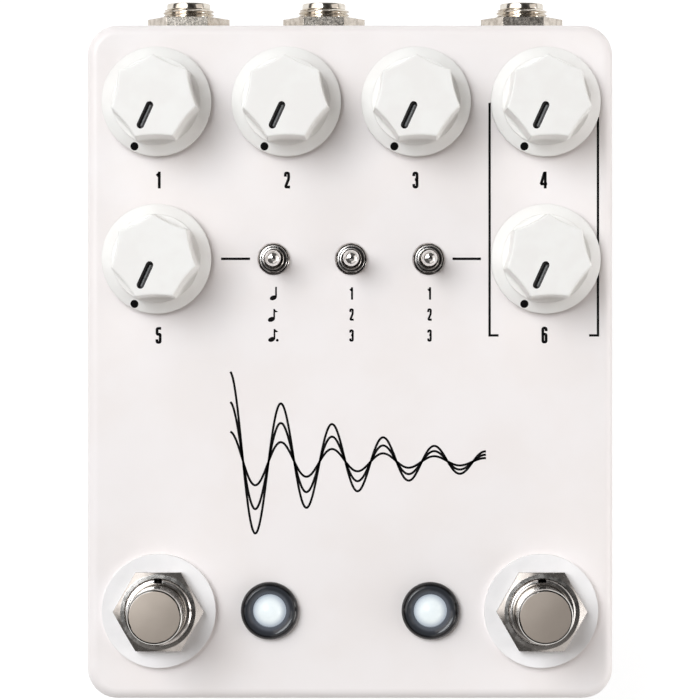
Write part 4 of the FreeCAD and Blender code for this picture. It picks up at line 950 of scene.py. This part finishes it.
# Soft lamps that face the pedal: azimuth and elevation in degrees, distance, width and height in metres,
# power and colour
LAMPS = {
    "key_lamp": (143, 60, 2.0, 1.2, 1.2, 26.7, (0.96, 1.0, 1.03)),
    "fill_lamp": (-10, 15, 0.5, 0.44, 0.18, 0.76, (1.0, 1.0, 1.0)),
}

AMBIENT_COLOUR = (1.05, 1.0, 0.97)
WALL_LEVEL = 0.1
CEILING_LEVEL = 0.03
CEILING_STARTS = (50, 64)           # degrees up
SOFT_EDGE = 6                       # degrees
# Bright panels on the walls: azimuth, half width, lowest and highest edge in degrees, and brightness
WALL_PANELS = [
    (145, 42, 20, 50, 1.6),
    (5, 28, 5, 45, 0.85),
    (305, 32, 8, 42, 0.75),
    (275, 50, 52, 74, 0.3),
]

FLOOR_SIZE = 12.0
FLOOR_GLOW = 0.9
FLOOR_SHADE = 0.2                   # its colour where it glows
FLOOR_COLOUR = 0.75                 # and in the light that it passes on


def photo_camera():
    """The camera, straight over the pedal."""
    data = bpy.data.cameras.new("photo_camera")
    data.sensor_width = SENSOR_WIDTH
    data.lens = CAMERA_LENS
    data.clip_start = 0.01
    data.clip_end = 50.0
    camera = bpy.data.objects.new("photo_camera", data)
    camera.location = (0, CAMERA_Y * MM, CAMERA_HEIGHT * MM)
    bpy.context.scene.collection.objects.link(camera)
    bpy.context.scene.camera = camera


def soft_lamp(name):
    """A lamp with an oblong face that looks at the middle of the pedal's base, unseen by the camera."""
    azimuth, elevation, distance, width, height, power, colour = LAMPS[name]
    level = math.cos(math.radians(elevation))
    way = Vector((
        math.cos(math.radians(azimuth)) * level,
        math.sin(math.radians(azimuth)) * level,
        math.sin(math.radians(elevation)),
    ))
    data = bpy.data.lights.new(name, "AREA")
    data.shape = "ELLIPSE"
    data.size = width
    data.size_y = height
    data.energy = power
    data.color = colour
    lamp = bpy.data.objects.new(name, data)
    lamp.location = way * distance
    lamp.rotation_euler = way.to_track_quat("Z", "Y").to_euler()
    lamp.visible_camera = False
    bpy.context.scene.collection.objects.link(lamp)


def seen_directly(shader):
    """Two outputs: 1 for the camera's own rays, and 1 for rays that are reflected or pass through glass."""
    path = shader.add("ShaderNodeLightPath").node
    mirrored = shader.math("MAXIMUM", path.outputs["Is Glossy Ray"], path.outputs["Is Transmission Ray"])
    return path.outputs["Is Camera Ray"], mirrored


def studio_world():
    """Soft light from all round: dim walls with bright panels on them, under a dark ceiling."""
    world = bpy.data.worlds.new("studio")
    world.use_nodes = True
    bpy.context.scene.world = world
    shader = Shader(world.node_tree)
    across, along, up = shader.axes(shader.add("ShaderNodeTexCoord", output="Generated"))
    # A little over 1, so that the length of the level part isn't 0 straight up
    level_square = shader.math("SUBTRACT", 1.0001, shader.math("MULTIPLY", up, up))
    level_length = shader.math("SQRT", level_square)
    starts = [math.sin(math.radians(degrees)) for degrees in CEILING_STARTS]
    level = shader.spread(up, *starts, WALL_LEVEL, CEILING_LEVEL)
    for azimuth, half_width, low, high, brightness in WALL_PANELS:
        across_part = shader.math("MULTIPLY", across, math.cos(math.radians(azimuth)))
        along_part = shader.math("MULTIPLY", along, math.sin(math.radians(azimuth)))
        towards = shader.math("ADD", across_part, along_part)
        wide = [math.cos(math.radians(half_width + side * SOFT_EDGE)) for side in (1, -1)]
        beside = shader.spread(shader.math("DIVIDE", towards, level_length), *wide)
        above = shader.spread(up, *soft_rise(low), 0.0, brightness)
        below = shader.spread(up, *soft_rise(high), 1.0, 0.0)
        share = shader.math("MULTIPLY", beside, shader.math("MULTIPLY", above, below))
        level = shader.math("ADD", level, share)
    camera_ray, _ = seen_directly(shader)
    lit = shader.add("ShaderNodeBackground", {"Color": opaque(AMBIENT_COLOUR), "Strength": level})
    white = shader.add("ShaderNodeBackground", {"Color": (1, 1, 1, 1), "Strength": 1.0})
    shown = shader.add("ShaderNodeMixShader", {0: camera_ray, 1: lit, 2: white})
    shader.add("ShaderNodeOutputWorld", {"Surface": shown})


def soft_rise(elevation):
    """How far up the sky a soft edge at an elevation starts and ends."""
    return [math.sin(math.radians(elevation + side * SOFT_EDGE / 2)) for side in (-1, 1)]


def studio_floor():
    """A plain white floor, which shows white to the camera and in reflections, and keeps the shadow."""
    half = FLOOR_SIZE / 2
    mesh = bpy.data.meshes.new("floor")
    corners = [(-half, -half, 0), (half, -half, 0), (half, half, 0), (-half, half, 0)]
    mesh.from_pydata(corners, [], [(0, 1, 2, 3)])
    floor = bpy.data.objects.new("floor", mesh)
    bpy.context.scene.collection.objects.link(floor)
    material, shader = new_material("floor")
    camera_ray, mirrored = seen_directly(shader)
    shown = shader.math("MAXIMUM", camera_ray, mirrored)
    colour = shader.blend(shown, (FLOOR_COLOUR,) * 3, (FLOOR_SHADE,) * 3)
    lit = shader.add("ShaderNodeBsdfDiffuse", {"Color": colour})
    glow = shader.math("MULTIPLY", shown, FLOOR_GLOW)
    white = shader.add("ShaderNodeEmission", {"Color": (1, 1, 1, 1), "Strength": glow})
    both = shader.add("ShaderNodeAddShader", {0: lit, 1: white})
    shader.add("ShaderNodeOutputMaterial", {"Surface": both})
    mesh.materials.append(material)


paint_nodes()
toggle_bushings()
for side_name in FOOTSWITCH_PLACES:
    footswitch_bushing(side_name)
    return_spring(side_name)
jack_bushings()
for knob_number in range(1, 7):
    pointer(knob_number)
    skirt_dot(knob_number)
panel_lines()
panel_numerals()
panel_notes()
panel_wave()
photo_camera()
for lamp_name in LAMPS:
    soft_lamp(lamp_name)
studio_world()
studio_floor()
bpy.context.scene.view_settings.view_transform = "Standard"
